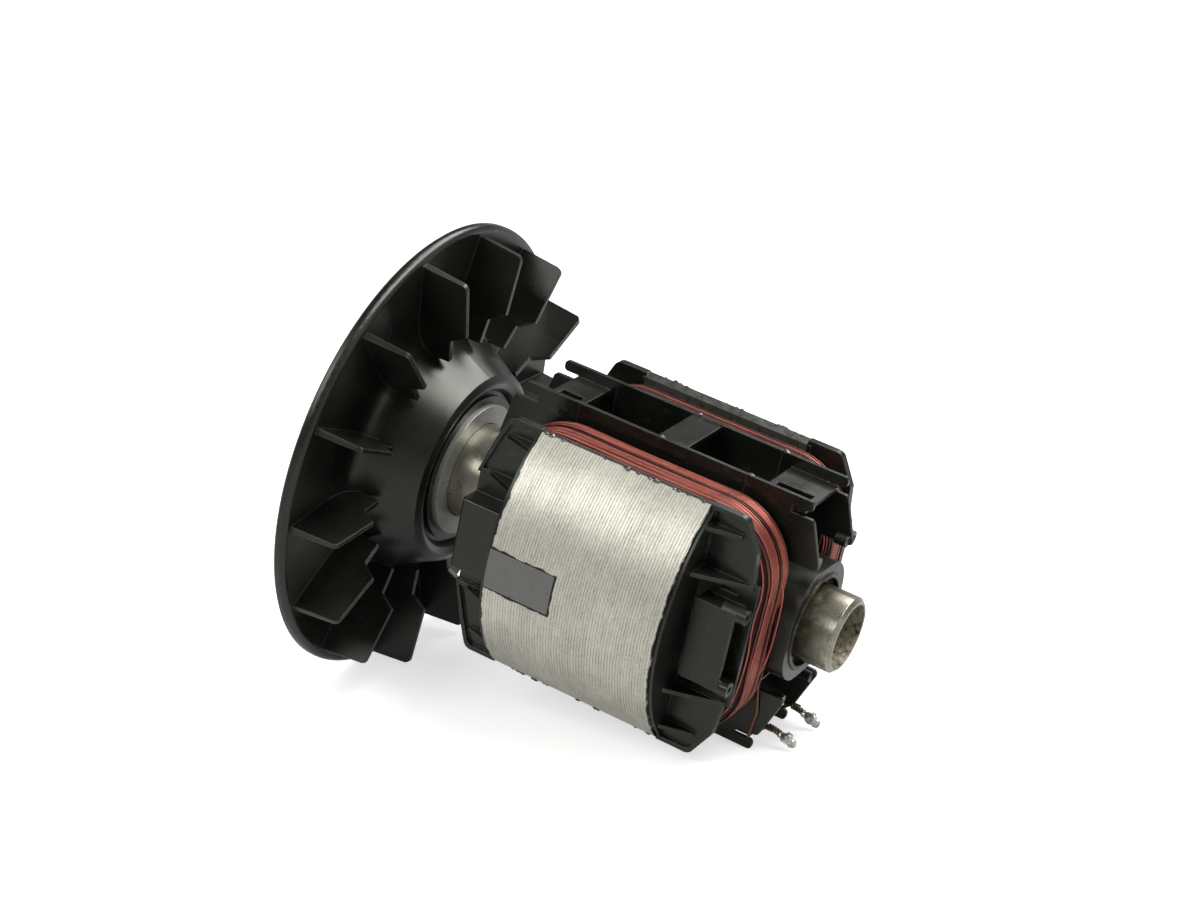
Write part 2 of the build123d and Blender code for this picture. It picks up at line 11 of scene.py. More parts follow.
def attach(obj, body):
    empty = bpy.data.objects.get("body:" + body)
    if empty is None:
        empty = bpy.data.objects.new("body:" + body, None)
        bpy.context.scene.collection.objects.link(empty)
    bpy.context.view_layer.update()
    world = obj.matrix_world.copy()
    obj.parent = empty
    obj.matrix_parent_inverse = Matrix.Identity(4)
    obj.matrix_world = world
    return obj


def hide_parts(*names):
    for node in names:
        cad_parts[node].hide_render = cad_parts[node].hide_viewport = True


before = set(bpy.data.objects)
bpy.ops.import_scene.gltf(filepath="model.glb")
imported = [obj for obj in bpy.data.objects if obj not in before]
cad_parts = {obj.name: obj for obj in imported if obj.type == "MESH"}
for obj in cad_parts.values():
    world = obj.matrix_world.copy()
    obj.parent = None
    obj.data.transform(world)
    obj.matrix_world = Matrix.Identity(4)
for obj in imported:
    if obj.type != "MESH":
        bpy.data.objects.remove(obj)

log = logging.getLogger("generator_rotor")

MM = 0.001

Colour = tuple[float, float, float]
Point = tuple[float, float, float]
Socket = bpy.types.NodeSocket
NONE: Colour = (0.0, 0.0, 0.0)
FULL: Colour = (1.0, 1.0, 1.0)


@dataclass(frozen=True)
class ShaftPlacement:
    """Where the shaft axis lies in the row's frame: tipped about Y, then moved onto the floor."""

    tilt_deg: float = 13.184
    shift_mm: Point = (-10.7397, 0.0, 60.7709)

    def matrix(self) -> Matrix:
        """Matrix from the shaft's own frame, in metres, to the row's frame."""
        shift = Matrix.Translation(Vector(self.shift_mm) * MM)
        return shift @ Matrix.Rotation(math.radians(self.tilt_deg), 4, "Y")

    def settle(self, piece: bpy.types.Object) -> None:
        """Moves a piece modelled about the shaft axis to its place, in its mesh.

        Args:
            piece: mesh object modelled in the shaft's frame, in metres.
        """
        piece.data.transform(self.matrix() @ piece.matrix_world)
        piece.matrix_world = Matrix.Identity(4)
        piece.data.update()


PLACEMENT = ShaftPlacement()


class Side(Enum):
    """The two poles, by the direction of their faces from the shaft axis."""

    POLE_1 = -1
    POLE_2 = 1

    @property
    def number(self) -> int:
        """The pole's number in the names of its pieces."""
        return 1 if self is Side.POLE_1 else 2


def clear_selection() -> None:
    """Leaves nothing selected, so that the next operator acts on its own piece alone."""
    if bpy.context.object and bpy.context.object.mode != "OBJECT":
        bpy.ops.object.mode_set(mode="OBJECT")
    bpy.ops.object.select_all(action="DESELECT")


def pick(piece: bpy.types.Object) -> None:
    """Selects one object and makes it active.

    Args:
        piece: the object to work on.
    """
    clear_selection()
    piece.select_set(True)
    bpy.context.view_layer.objects.active = piece


def join_pieces(pieces: list[bpy.types.Object], name: str) -> bpy.types.Object:
    """Joins mesh objects into one.

    Args:
        pieces: mesh objects; the others are joined to the first.
        name: name of the joined object.

    Returns:
        The joined object.
    """
    clear_selection()
    for piece in pieces:
        piece.select_set(True)
    bpy.context.view_layer.objects.active = pieces[0]
    if len(pieces) > 1:
        bpy.ops.object.join()
    pieces[0].name = name
    return pieces[0]


def between(start: float, end: float, share: float) -> float:
    """Number at a share of the way from one to another."""
    return start + (end - start) * share


def rounded_route(route: list[Vector], steps: int) -> list[Vector]:
    """Smooth curve through the points of a route.

    Args:
        route: the points to pass through.
        steps: points from one of them to the next.

    Returns:
        The curve's points.
    """
    points = []
    for index in range(len(route) - 1):
        before = route[max(index - 1, 0)]
        here, ahead = route[index], route[index + 1]
        after = route[min(index + 2, len(route) - 1)]
        for step in range(steps):
            t = step / steps
            points.append(0.5 * (
                2 * here + (ahead - before) * t
                + (2 * before - 5 * here + 4 * ahead - after) * t * t
                + (3 * here - before - 3 * ahead + after) * t * t * t
            ))
    return [*points, route[-1]]


def wire_mesh(
    name: str,
    routes: list[list[Vector]],
    radius: float,
    closed: bool,
    sides: int = 1,
    tones: list[float] | None = None,
) -> bpy.types.Object:
    """Round wires along routes of points, as one mesh.

    Args:
        name: name of the object.
        routes: one list of points for each wire, in metres.
        radius: radius of the wire, in metres.
        closed: whether each wire runs back to its start.
        sides: bevel resolution of the round section.
        tones: shade of each wire, 0 light to 1 dark; drawn at random where left out.

    Returns:
        A mesh object with a float attribute "wire_tone" that differs from wire to wire.
    """
    curve = bpy.data.curves.new(name, "CURVE")
    curve.dimensions = "3D"
    curve.bevel_depth = radius
    curve.bevel_resolution = sides
    curve.use_fill_caps = not closed
    for route in routes:
        spline = curve.splines.new("POLY")
        spline.points.add(len(route) - 1)
        for point, place in zip(spline.points, route):
            point.co = (*place, 1.0)
        spline.use_cyclic_u = closed
    piece = bpy.data.objects.new(name, curve)
    bpy.context.scene.collection.objects.link(piece)
    pick(piece)
    bpy.ops.object.convert(target="MESH")
    piece = bpy.context.view_layer.objects.active
    bpy.ops.object.shade_smooth()
    mesh = piece.data
    tone = mesh.attributes.new("wire_tone", "FLOAT", "POINT")
    share = len(mesh.vertices) / max(1, sum(len(route) for route in routes))
    rng = random.Random(len(routes) * 7 + 1)
    start = 0.0
    values = [0.0] * len(mesh.vertices)
    for number, route in enumerate(routes):
        end = start + share * len(route)
        value = tones[number] if tones else rng.random()
        for index in range(int(start), min(int(end + 0.5), len(values))):
            values[index] = value
        start = end
    tone.data.foreach_set("value", values)
    return piece


class Recipe:
    """A node tree under construction: adds nodes and wires them up.

    A colour mix keeps its factor and its two colours on three of the Mix node's many inputs.
    """

    MIX_INPUTS = (0, 6, 7)
    MIX_RESULT = 2

    def __init__(self, tree: bpy.types.NodeTree) -> None:
        """Starts on an emptied tree.

        Args:
            tree: the node tree to fill.
        """
        self.tree = tree
        self.tree.nodes.clear()

    def node(self, kind: str, **values: object) -> bpy.types.Node:
        """Adds a node.

        Args:
            kind: Blender's name of the node type.
            **values: properties to set; names that match an input set that input.

        Returns:
            The node.
        """
        made = self.tree.nodes.new(kind)
        for key, value in values.items():
            label = key.replace("_", " ")
            socket = next((s for s in made.inputs if s.name.lower() == label.lower()), None)
            if hasattr(made, key):
                setattr(made, key, value)
            elif socket is not None:
                socket.default_value = value
        return made

    def link(self, source: Socket, target: Socket) -> None:
        """Wires one socket to another."""
        self.tree.links.new(source, target)

    def feed(self, node: bpy.types.Node, **sources: Socket) -> None:
        """Wires sockets into a node's inputs, named with underscores for spaces."""
        for key, source in sources.items():
            self.link(source, node.inputs[key.replace("_", " ")])

    def math(self, operation: str, first: object, second: object = 0.0) -> Socket:
        """Adds a math node.

        Args:
            operation: Blender's name of the operation.
            first: a socket or a number.
            second: a socket or a number.

        Returns:
            The result's socket.
        """
        made = self.tree.nodes.new("ShaderNodeMath")
        made.operation = operation
        for slot, value in zip(made.inputs, (first, second)):
            if isinstance(value, (int, float)):
                slot.default_value = value
            else:
                self.link(value, slot)
        return made.outputs[0]

    def times(self, first: object, second: object) -> Socket:
        """Multiplies two sockets or numbers."""
        return self.math("MULTIPLY", first, second)

    def plus(self, first: object, second: object) -> Socket:
        """Adds two sockets or numbers."""
        return self.math("ADD", first, second)

    def minus(self, first: object, second: object) -> Socket:
        """Takes the second socket or number from the first."""
        return self.math("SUBTRACT", first, second)

    def scaled(self, value: Socket, factor: float, base: float) -> Socket:
        """Multiplies a value and adds a base to it."""
        return self.plus(self.times(value, factor), base)

    def weigh(self, parts: list[tuple[Socket, float]], base: float = 0.0) -> Socket:
        """Adds up values, each times its weight, and a base.

        Args:
            parts: sockets with their weights.
            base: number added at the end.

        Returns:
            The sum's socket.
        """
        total = self.times(*parts[0])
        for value, weight in parts[1:]:
            total = self.plus(total, self.times(value, weight))
        return self.plus(total, base) if base else total

    def spread(
        self,
        value: Socket,
        given: tuple[float, float],
        wanted: tuple[float, float] = (0.0, 1.0),
        smooth: bool = False,
    ) -> Socket:
        """Spreads one range of a value over another and holds it at both ends.

        Args:
            value: socket with the value.
            given: where the range starts and ends.
            wanted: the result at its start and at its end.
            smooth: whether the result eases in and out.

        Returns:
            The result's socket.
        """
        made = self.tree.nodes.new("ShaderNodeMapRange")
        made.interpolation_type = "SMOOTHSTEP" if smooth else "LINEAR"
        for label, number in zip(("From Min", "From Max", "To Min", "To Max"), (*given, *wanted)):
            made.inputs[label].default_value = number
        self.link(value, made.inputs["Value"])
        return made.outputs["Result"]

    def ramp(self, factor: Socket, stops: list[tuple[float, Colour]]) -> Socket:
        """Adds a colour ramp.

        Args:
            factor: socket that drives the ramp.
            stops: positions from 0 to 1 with their colours.

        Returns:
            The colour's socket.
        """
        made = self.tree.nodes.new("ShaderNodeValToRGB")
        elements = made.color_ramp.elements
        while len(elements) < len(stops):
            elements.new(0.5)
        for element, (place, colour) in zip(elements, stops):
            element.position = place
            element.color = (*colour, 1.0)
        self.link(factor, made.inputs[0])
        return made.outputs[0]

    def mix(self, factor: object, first: object, second: object) -> Socket:
        """Mixes two colours.

        Args:
            factor: a socket or a number.
            first: a socket or an RGB colour.
            second: a socket or an RGB colour.

        Returns:
            The mixed colour's socket.
        """
        made = self.tree.nodes.new("ShaderNodeMix")
        made.data_type = "RGBA"
        for index, value in zip(self.MIX_INPUTS, (factor, first, second)):
            slot = made.inputs[index]
            if isinstance(value, (int, float)):
                slot.default_value = value
            elif isinstance(value, tuple):
                slot.default_value = (*value, 1.0)
            else:
                self.link(value, slot)
        return made.outputs[self.MIX_RESULT]


def start_group(
    name: str, inputs: dict[str, str], outputs: dict[str, str]
) -> tuple[bpy.types.NodeTree, Recipe, bpy.types.Node, bpy.types.Node]:
    """Starts a node group with its sockets.

    Args:
        name: name of the group.
        inputs: kind of each input, by its name.
        outputs: kind of each output, by its name.

    Returns:
        The group, its recipe, its inlet and its outlet.
    """
    group = bpy.data.node_groups.new(name, "ShaderNodeTree")
    for way, sockets in (("INPUT", inputs), ("OUTPUT", outputs)):
        for label, kind in sockets.items():
            group.interface.new_socket(label, in_out=way, socket_type=f"NodeSocket{kind}")
    recipe = Recipe(group)
    return group, recipe, recipe.node("NodeGroupInput"), recipe.node("NodeGroupOutput")


def scuff_group() -> bpy.types.NodeTree:
    """Shared effect: blotches, fine scratches and the grain of a moulded skin, one mask each.

    Returns:
        Node group with the inputs Vector, Blotch Scale and Grain Scale, and the outputs Blotch,
        Scratch and Grain.
    """
    known = bpy.data.node_groups.get("scuff_and_grain")
    if known:
        return known
    group, recipe, inlet, outlet = start_group(
        "scuff_and_grain",
        {"Vector": "Vector", "Blotch Scale": "Float", "Grain Scale": "Float"},
        {"Blotch": "Float", "Scratch": "Float", "Grain": "Float"},
    )
    vector = inlet.outputs["Vector"]
    blotch = recipe.node("ShaderNodeTexNoise", Detail=4.0, Roughness=0.6)
    recipe.feed(blotch, Vector=vector, Scale=inlet.outputs["Blotch Scale"])
    grain = recipe.node("ShaderNodeTexNoise", Detail=2.0, Roughness=0.5)
    recipe.feed(grain, Vector=vector, Scale=inlet.outputs["Grain Scale"])
    aslant = recipe.node("ShaderNodeMapping", Scale=(1.0, 9.0, 1.6), Rotation=(0.4, 0.9, 0.7))
    recipe.feed(aslant, Vector=vector)
    scratch = recipe.node("ShaderNodeTexNoise", Scale=160.0, Detail=3.0, Roughness=0.7)
    recipe.feed(scratch, Vector=aslant.outputs["Vector"])
    sharp = recipe.spread(scratch.outputs["Fac"], (0.62, 0.74))
    blotches, grains = blotch.outputs["Fac"], grain.outputs["Fac"]
    recipe.feed(outlet, Blotch=blotches, Scratch=sharp, Grain=grains)
    return group


def edge_group() -> bpy.types.NodeTree:
    """Shared effect: the small round on every moulded or turned edge, as a normal and as a mask.

    Returns:
        Node group with the input Radius and the outputs Edge and Normal.
    """
    known = bpy.data.node_groups.get("rounded_edges")
    if known:
        return known
    group, recipe, inlet, outlet = start_group(
        "rounded_edges", {"Radius": "Float"}, {"Edge": "Float", "Normal": "Vector"}
    )
    rounded = recipe.node("ShaderNodeBevel", samples=4)
    recipe.feed(rounded, Radius=inlet.outputs["Radius"])
    flat = recipe.node("ShaderNodeNewGeometry")
    agree = recipe.node("ShaderNodeVectorMath", operation="DOT_PRODUCT")
    recipe.link(rounded.outputs["Normal"], agree.inputs[0])
    recipe.link(flat.outputs["True Normal"], agree.inputs[1])
    edge = recipe.spread(agree.outputs["Value"], (0.995, 0.80))
    recipe.feed(outlet, Edge=edge, Normal=rounded.outputs["Normal"])
    return group


class FinishRecipe(Recipe):
    """A material under construction: one Principled BSDF with patterns laid along the shaft."""

    def __init__(self, name: str, **constants: object) -> None:
        """Starts the material.

        Args:
            name: name of the material.
            **constants: values for the shader's own sockets, with underscores for spaces.
        """
        self.material = bpy.data.materials.new(name)
        self.material.use_nodes = True
        super().__init__(self.material.node_tree)
        self.shader = self.node("ShaderNodeBsdfPrincipled", **constants)
        output = self.node("ShaderNodeOutputMaterial")
        self.link(self.shader.outputs[0], output.inputs[0])
        self.place = self.along_shaft()

    def along_shaft(self) -> Socket:
        """Turns object coordinates so that X runs along the shaft from the core's fan side.

        Returns:
            Vector socket, in metres.
        """
        texture = self.node("ShaderNodeTexCoord")
        tilt = (0.0, math.radians(PLACEMENT.tilt_deg), 0.0)
        shift = Vector(PLACEMENT.shift_mm) * MM
        mapping = self.node(
            "ShaderNodeMapping", vector_type="TEXTURE", Location=shift, Rotation=tilt
        )
        self.feed(mapping, Vector=texture.outputs["Object"])
        return mapping.outputs["Vector"]

    def taken_apart(self) -> bpy.types.Node:
        """Splits the coordinates along the shaft.

        Returns:
            The node, with the outputs X, Y and Z.
        """
        made = self.node("ShaderNodeSeparateXYZ")
        self.link(self.place, made.inputs[0])
        return made

    def noise(
        self,
        scale: float,
        detail: float = 3.0,
        roughness: float = 0.55,
        stretch: Point | None = None,
    ) -> Socket:
        """Adds a noise texture laid along the shaft.

        Args:
            scale: features to the metre.
            detail: octaves.
            roughness: how strong the fine octaves are.
            stretch: factor along each axis, for streaks.

        Returns:
            The factor's socket.
        """
        vector = self.place
        if stretch:
            mapping = self.node("ShaderNodeMapping", Scale=stretch)
            self.feed(mapping, Vector=vector)
            vector = mapping.outputs["Vector"]
        made = self.node("ShaderNodeTexNoise", Scale=scale, Detail=detail, Roughness=roughness)
        self.feed(made, Vector=vector)
        return made.outputs["Fac"]

    def edges(self, radius: float) -> bpy.types.Node:
        """Places the shared edge group, for rounds of a radius in metres."""
        return self.node("ShaderNodeGroup", node_tree=edge_group(), Radius=radius)

    def scuffs(self, blotches: float, grain: float) -> bpy.types.Node:
        """Places the shared scuff group.

        Args:
            blotches: blotches to the metre.
            grain: grains to the metre.

        Returns:
            The group's node.
        """
        made = self.node(
            "ShaderNodeGroup", node_tree=scuff_group(), Blotch_Scale=blotches, Grain_Scale=grain
        )
        self.feed(made, Vector=self.place)
        return made

    def surface(self, **sources: Socket) -> None:
        """Wires sockets into the shader's inputs, named with underscores for spaces."""
        self.feed(self.shader, **sources)

    def bump(
        self,
        height: Socket,
        strength: float,
        distance: float,
        edges: bpy.types.Node | None = None,
    ) -> None:
        """Gives the shader a bump.

        Args:
            height: socket with the height.
            strength: strength of the bump.
            distance: height of the bump in metres.
            edges: the edge group's node, where the edges are rounded.
        """
        made = self.node("ShaderNodeBump", Strength=strength, Distance=distance)
        self.feed(made, Height=height)
        if edges is not None:
            self.feed(made, Normal=edges.outputs["Normal"])
        self.surface(Normal=made.outputs["Normal"])


@dataclass(frozen=True)
class MouldedPlastic:
    """Black glass-filled plastic with a satin skin, light scuffs, dust, and paler edges: a painted
    edge highlight mixed with rubbing wear.
    """

    name: str
    colour: Colour = (0.0048, 0.0056, 0.0042)
    haze: Colour = (0.0100, 0.0112, 0.0085)
    lit_rubbed_edge: Colour = (0.085, 0.088, 0.076)
    sheen_tint: Colour = (0.97, 1.0, 0.90)
    smooth: float = 0.30
    rough: float = 0.48
    marks: Colour = (0.06, 0.06, 0.056)
    blotches: float = 38.0
    grain: float = 2600.0
    dust_from: float = 0.42
    dust_full: float = 0.78
    mark_strength: float = 0.3
    edge_light_and_wear: float = 1.3
    edge_radius: float = 0.45 * MM

    def build(self) -> bpy.types.Material:
        """Builds the material."""
        tint = (*self.sheen_tint, 1.0)
        recipe = FinishRecipe(self.name, Specular_IOR_Level=0.37, Specular_Tint=tint)
        scuffs = recipe.scuffs(self.blotches, self.grain)
        edges = recipe.edges(self.edge_radius)
        stops = [(self.dust_from, NONE), (self.dust_full, FULL)]
        dusty = recipe.ramp(scuffs.outputs["Blotch"], stops)
        colour = recipe.mix(dusty, self.colour, self.haze)
        marked = recipe.times(scuffs.outputs["Scratch"], self.mark_strength)
        colour = recipe.mix(marked, colour, self.marks)
        # Painted edge highlight, partly rubbing wear: the rounded edges are paled in patches.
        patchy_lit_edges = recipe.times(edges.outputs["Edge"], scuffs.outputs["Blotch"])
        colour = recipe.mix(recipe.times(patchy_lit_edges, self.edge_light_and_wear), colour, self.lit_rubbed_edge)
        rough = recipe.spread(scuffs.outputs["Blotch"], (0.3, 0.7), (self.smooth, self.rough))
        recipe.surface(Base_Color=colour, Roughness=rough)
        recipe.bump(scuffs.outputs["Grain"], strength=0.16, distance=0.12 * MM, edges=edges)
        return recipe.material


@dataclass(frozen=True)
class SheetSteel:
    """Ground edges of stacked steel sheets: fine lines across the shaft, each sheet its own grey.

    Black dipping varnish is left in a ragged seam at both ends of the stack and round the magnets.
    """

    name: str = "sheet_steel"
    pitch: float = 0.98 * MM
    light: Colour = (0.60, 0.588, 0.505)
    dark: Colour = (0.225, 0.217, 0.175)
    gap: Colour = (0.10, 0.094, 0.078)
    pit: Colour = (0.07, 0.062, 0.048)
    varnish: Colour = (0.013, 0.014, 0.011)
    length: float = 59.0 * MM
    magnet_end: float = 23.25 * MM
    magnet_side: float = 7.05 * MM
    magnet_lap: float = 0.15 * MM
    seam_width: float = 2.4 * MM
    seam_edge: float = 0.22 * MM
    wobble: float = 0.30
    by_sheet: float = 0.14
    by_streak: float = 0.55
    by_grit: float = 1.15
    by_stain: float = 0.85
    lightened: float = 1.05
    pit_strength: float = 0.8

    def seam(self, recipe: FinishRecipe, split: bpy.types.Node) -> Socket:
        """Mask of the varnish left at the stack's ends and round the magnets.

        Args:
            recipe: the material's recipe.
            split: the coordinates along the shaft, taken apart.

        Returns:
            The mask's socket.
        """
        middle = recipe.math("ABSOLUTE", recipe.minus(split.outputs["X"], self.length / 2))
        from_end = recipe.minus(self.length / 2, middle)
        past_end = recipe.minus(split.outputs["X"], self.magnet_end)
        past_side = recipe.minus(recipe.math("ABSOLUTE", split.outputs["Z"]), self.magnet_side)
        from_magnet = recipe.math("MAXIMUM", past_end, past_side)
        nearest = recipe.math("MINIMUM", from_end, recipe.plus(from_magnet, self.magnet_lap))
        ragged = recipe.minus(recipe.noise(260.0, 5.0, 0.62), 0.36)
        wide = recipe.times(ragged, self.seam_width)
        return recipe.spread(recipe.minus(wide, nearest), (0.0, self.seam_edge))

    def build(self) -> bpy.types.Material:
        """Builds the material."""
        recipe = FinishRecipe(self.name, Metallic=0.45, Specular_IOR_Level=0.4)
        split = recipe.taken_apart()
        wobble = recipe.times(recipe.noise(420.0, 2.0), self.wobble)
        shifted = recipe.plus(recipe.math("DIVIDE", split.outputs["X"], self.pitch), wobble)
        sheet = recipe.math("FLOOR", shifted)
        across = recipe.math("FRACT", shifted)
        tone = recipe.node("ShaderNodeTexWhiteNoise", noise_dimensions="1D")
        recipe.link(sheet, tone.inputs["W"])
        streaks = recipe.noise(1500.0, 3.0, 0.7, stretch=(1.0, 0.16, 0.16))
        grit = recipe.noise(1250.0, 3.0, 0.75)
        stains = recipe.noise(40.0, 5.0, 0.62)
        parts = [
            (tone.outputs["Value"], self.by_sheet),
            (streaks, self.by_streak),
            (grit, self.by_grit),
            (stains, self.by_stain),
        ]
        colour = recipe.mix(recipe.weigh(parts, -self.lightened), self.light, self.dark)
        edge = recipe.math("ABSOLUTE", recipe.minus(recipe.times(across, 2.0), 1.0))
        line = recipe.math("POWER", edge, 3.0)
        faint = recipe.spread(recipe.noise(170.0, 3.0, 0.6), (0.34, 0.66), (0.42, 0.95))
        worn = recipe.times(faint, recipe.plus(streaks, 0.35))
        colour = recipe.mix(recipe.times(line, worn), colour, self.gap)
        pits = recipe.ramp(grit, [(0.26, FULL), (0.34, NONE)])
        colour = recipe.mix(recipe.times(pits, self.pit_strength), colour, self.pit)
        colour = recipe.mix(self.seam(recipe, split), colour, self.varnish)
        recipe.surface(Base_Color=colour, Roughness=recipe.scaled(stains, 0.22, 0.29))
        height = recipe.minus(recipe.plus(streaks, grit), recipe.times(line, 0.9))
        recipe.bump(height, strength=0.5, distance=0.08 * MM)
        return recipe.material


@dataclass(frozen=True)
class TurnedSteel:
    """Turned steel: clean rings by the fan, used and specked at the free end, with a gritty bore.

    Dipping varnish blackens the shaft's shoulder there and leaves the edge of it bare.
    """

    name: str
    light: Colour = (0.335, 0.318, 0.262)
    dark: Colour = (0.118, 0.108, 0.080)
    grit: Colour = (0.36, 0.335, 0.25)
    grit_middle: Colour = (0.17, 0.155, 0.115)
    grit_deep: Colour = (0.045, 0.038, 0.026)
    rust: Colour = (0.075, 0.052, 0.028)
    lit_worn_edge: Colour = (0.52, 0.50, 0.43)
    grime_and_shade: Colour = (0.034, 0.028, 0.016)
    coat: Colour = (0.010, 0.010, 0.009)
    metal: float = 0.8
    glint: float = 0.5
    smooth: float = 0.24
    rough: float = 0.46
    bore_radius: float = 10.7 * MM
    seat_radius: float = 12.7 * MM
    bare_ring_radius: float = 15.7 * MM
    bare_ring_reach: float = 0.28 * MM
    edge_round: float = 0.35 * MM
    used_from: float = 30.0 * MM
    grime_and_shade_from: float = 90.0 * MM
    grime_and_shade_to: float = 97.0 * MM
    unused_share: float = 0.2
    by_patch: float = 1.6
    by_ring: float = 0.7
    rust_strength: float = 0.6
    edge_light_and_wear: float = 0.6
    grime_and_shade_dulls: float = 0.75
    bore_dulls: float = 0.3

    def build(self) -> bpy.types.Material:
        """Builds the material."""
        recipe = FinishRecipe(self.name, Specular_IOR_Level=self.glint)
        edges = recipe.edges(self.edge_round)
        split = recipe.taken_apart()
        used = recipe.math("GREATER_THAN", split.outputs["X"], self.used_from)
        rings = recipe.noise(1500.0, 3.0, 0.65, stretch=(1.0, 0.03, 0.03))
        patches = recipe.noise(130.0, 5.0, 0.68)
        specks = recipe.noise(1100.0, 2.0, 0.7)
        share = recipe.times(recipe.minus(patches, 0.5), self.by_patch)
        strength = recipe.scaled(used, 1.0 - self.unused_share, self.unused_share)
        share = recipe.plus(recipe.times(share, strength), recipe.times(rings, self.by_ring))
        colour = recipe.mix(share, self.light, self.dark)
        rust = recipe.ramp(specks, [(0.30, FULL), (0.40, NONE)])
        rusty = recipe.times(recipe.times(rust, used), self.rust_strength)
        colour = recipe.mix(rusty, colour, self.rust)
        # Painted edge highlight, partly wear: the rounded edges are lightened.
        worn = recipe.times(edges.outputs["Edge"], self.edge_light_and_wear)
        colour = recipe.mix(worn, colour, self.lit_worn_edge)
        # Grime, partly painted shade: the stub darkens toward its shoulder, in patches, and loses
        # its metal sheen there.
        near = recipe.spread(split.outputs["X"], (self.grime_and_shade_to, self.grime_and_shade_from))
        smeared = recipe.ramp(patches, [(0.36, (0.70, 0.70, 0.70)), (0.50, FULL)])
        grime_and_shade = recipe.times(recipe.times(near, smeared), used)
        colour = recipe.mix(grime_and_shade, colour, self.grime_and_shade)
        beside = recipe.math("POWER", split.outputs["Y"], 2.0)
        above = recipe.math("POWER", split.outputs["Z"], 2.0)
        radius = recipe.math("SQRT", recipe.plus(beside, above))
        inside = recipe.times(recipe.math("LESS_THAN", radius, self.bore_radius), used)
        crust = recipe.noise(520.0, 4.0, 0.75)
        stops = [(0.34, self.grit_deep), (0.44, self.grit_middle), (0.60, self.grit)]
        gritty = recipe.ramp(crust, stops)
        colour = recipe.mix(inside, colour, gritty)
        outer = recipe.times(recipe.math("GREATER_THAN", radius, self.seat_radius), used)
        rim = recipe.math("COMPARE", radius, self.bare_ring_radius)
        rim.node.inputs[2].default_value = self.bare_ring_reach
        coated = recipe.times(outer, recipe.minus(1.0, rim))
        colour = recipe.mix(coated, colour, self.coat)
        bare = recipe.minus(1.0, coated)
        clean = recipe.minus(1.0, recipe.times(grime_and_shade, self.grime_and_shade_dulls))
        metal = recipe.times(recipe.times(bare, clean), self.metal)
        rough = recipe.spread(patches, (0.3, 0.7), (self.smooth, self.rough))
        rough = recipe.plus(rough, recipe.times(inside, self.bore_dulls))
        recipe.surface(Base_Color=colour, Metallic=metal, Roughness=rough)
        height = recipe.weigh([(rings, 0.8), (patches, 0.6), (recipe.times(crust, inside), 5.0)])
        recipe.bump(height, strength=0.4, distance=0.08 * MM, edges=edges)
        return recipe.material


@dataclass(frozen=True)
class SinteredFerrite:
    """Dark ground ferrite with faint grinding lines and chipped specks."""

    name: str = "sintered_ferrite"
    colour: Colour = (0.112, 0.110, 0.106)
    ground: Colour = (0.17, 0.166, 0.16)
    chipped: Colour = (0.03, 0.03, 0.028)
    line_strength: float = 0.5
    chip_strength: float = 0.7

    def build(self) -> bpy.types.Material:
        """Builds the material."""
        recipe = FinishRecipe(self.name, Metallic=0.25, Specular_IOR_Level=0.45)
        lines = recipe.noise(1800.0, 2.0, stretch=(0.06, 1.0, 1.0))
        patches = recipe.noise(150.0, 4.0, 0.6)
        colour = recipe.mix(recipe.times(lines, self.line_strength), self.colour, self.ground)
        specks = recipe.noise(700.0, 2.0)
        chips = recipe.ramp(specks, [(0.27, FULL), (0.33, NONE)])
        colour = recipe.mix(recipe.times(chips, self.chip_strength), colour, self.chipped)
        recipe.surface(Base_Color=colour, Roughness=recipe.scaled(patches, 0.3, 0.32))
        recipe.bump(lines, strength=0.25, distance=0.04 * MM)
        return recipe.material


@dataclass(frozen=True)
class EnamelledWire:
    """Copper wire under red-brown enamel, each strand its own tone, the turns behind in painted
    shade, with varnish in patches.
    """

    name: str = "enamelled_wire"
    bright: Colour = (0.35, 0.090, 0.064)
    deep: Colour = (0.018, 0.005, 0.0036)
    varnished: Colour = (0.035, 0.011, 0.007)
    by_strand: float = 1.12
    by_patch: float = 0.7
    brightened: float = 0.36
    varnish_strength: float = 0.7

    def build(self) -> bpy.types.Material:
        """Builds the material."""
        recipe = FinishRecipe(
            self.name, Metallic=0.6, Specular_IOR_Level=0.3, Coat_Roughness=0.14, Coat_IOR=1.45
        )
        tone = recipe.node("ShaderNodeAttribute", attribute_name="wire_tone")
        patches = recipe.noise(70.0, 4.0, 0.6)
        parts = [(tone.outputs["Fac"], self.by_strand), (patches, self.by_patch)]
        # The deep end of this mix also serves as painted shade for the turns behind.
        colour = recipe.mix(recipe.weigh(parts, -self.brightened), self.bright, self.deep)
        drips = recipe.noise(150.0, 5.0, 0.7)
        varnish = recipe.ramp(drips, [(0.32, FULL), (0.43, NONE)])
        strength = recipe.times(varnish, self.varnish_strength)
        colour = recipe.mix(strength, colour, self.varnished)
        recipe.surface(
            Base_Color=colour,
            Roughness=recipe.scaled(patches, 0.25, 0.22),
            Coat_Weight=recipe.scaled(varnish, 0.35, 0.15),
        )
        recipe.bump(recipe.noise(1600.0, 2.0), strength=0.15, distance=0.05 * MM)
        return recipe.material


@dataclass(frozen=True)
class WireBed:
    """The shaded inside of a winding, seen only between its outer strands."""

    name: str = "winding_bed"
    colour: Colour = (0.022, 0.007, 0.0045)
    dusty: Colour = (0.045, 0.015, 0.010)

    def build(self) -> bpy.types.Material:
        """Builds the material."""
        recipe = FinishRecipe(self.name, Specular_IOR_Level=0.2, Roughness=0.7)
        cloud = recipe.noise(300.0)
        recipe.surface(Base_Color=recipe.mix(cloud, self.colour, self.dusty))
        return recipe.material


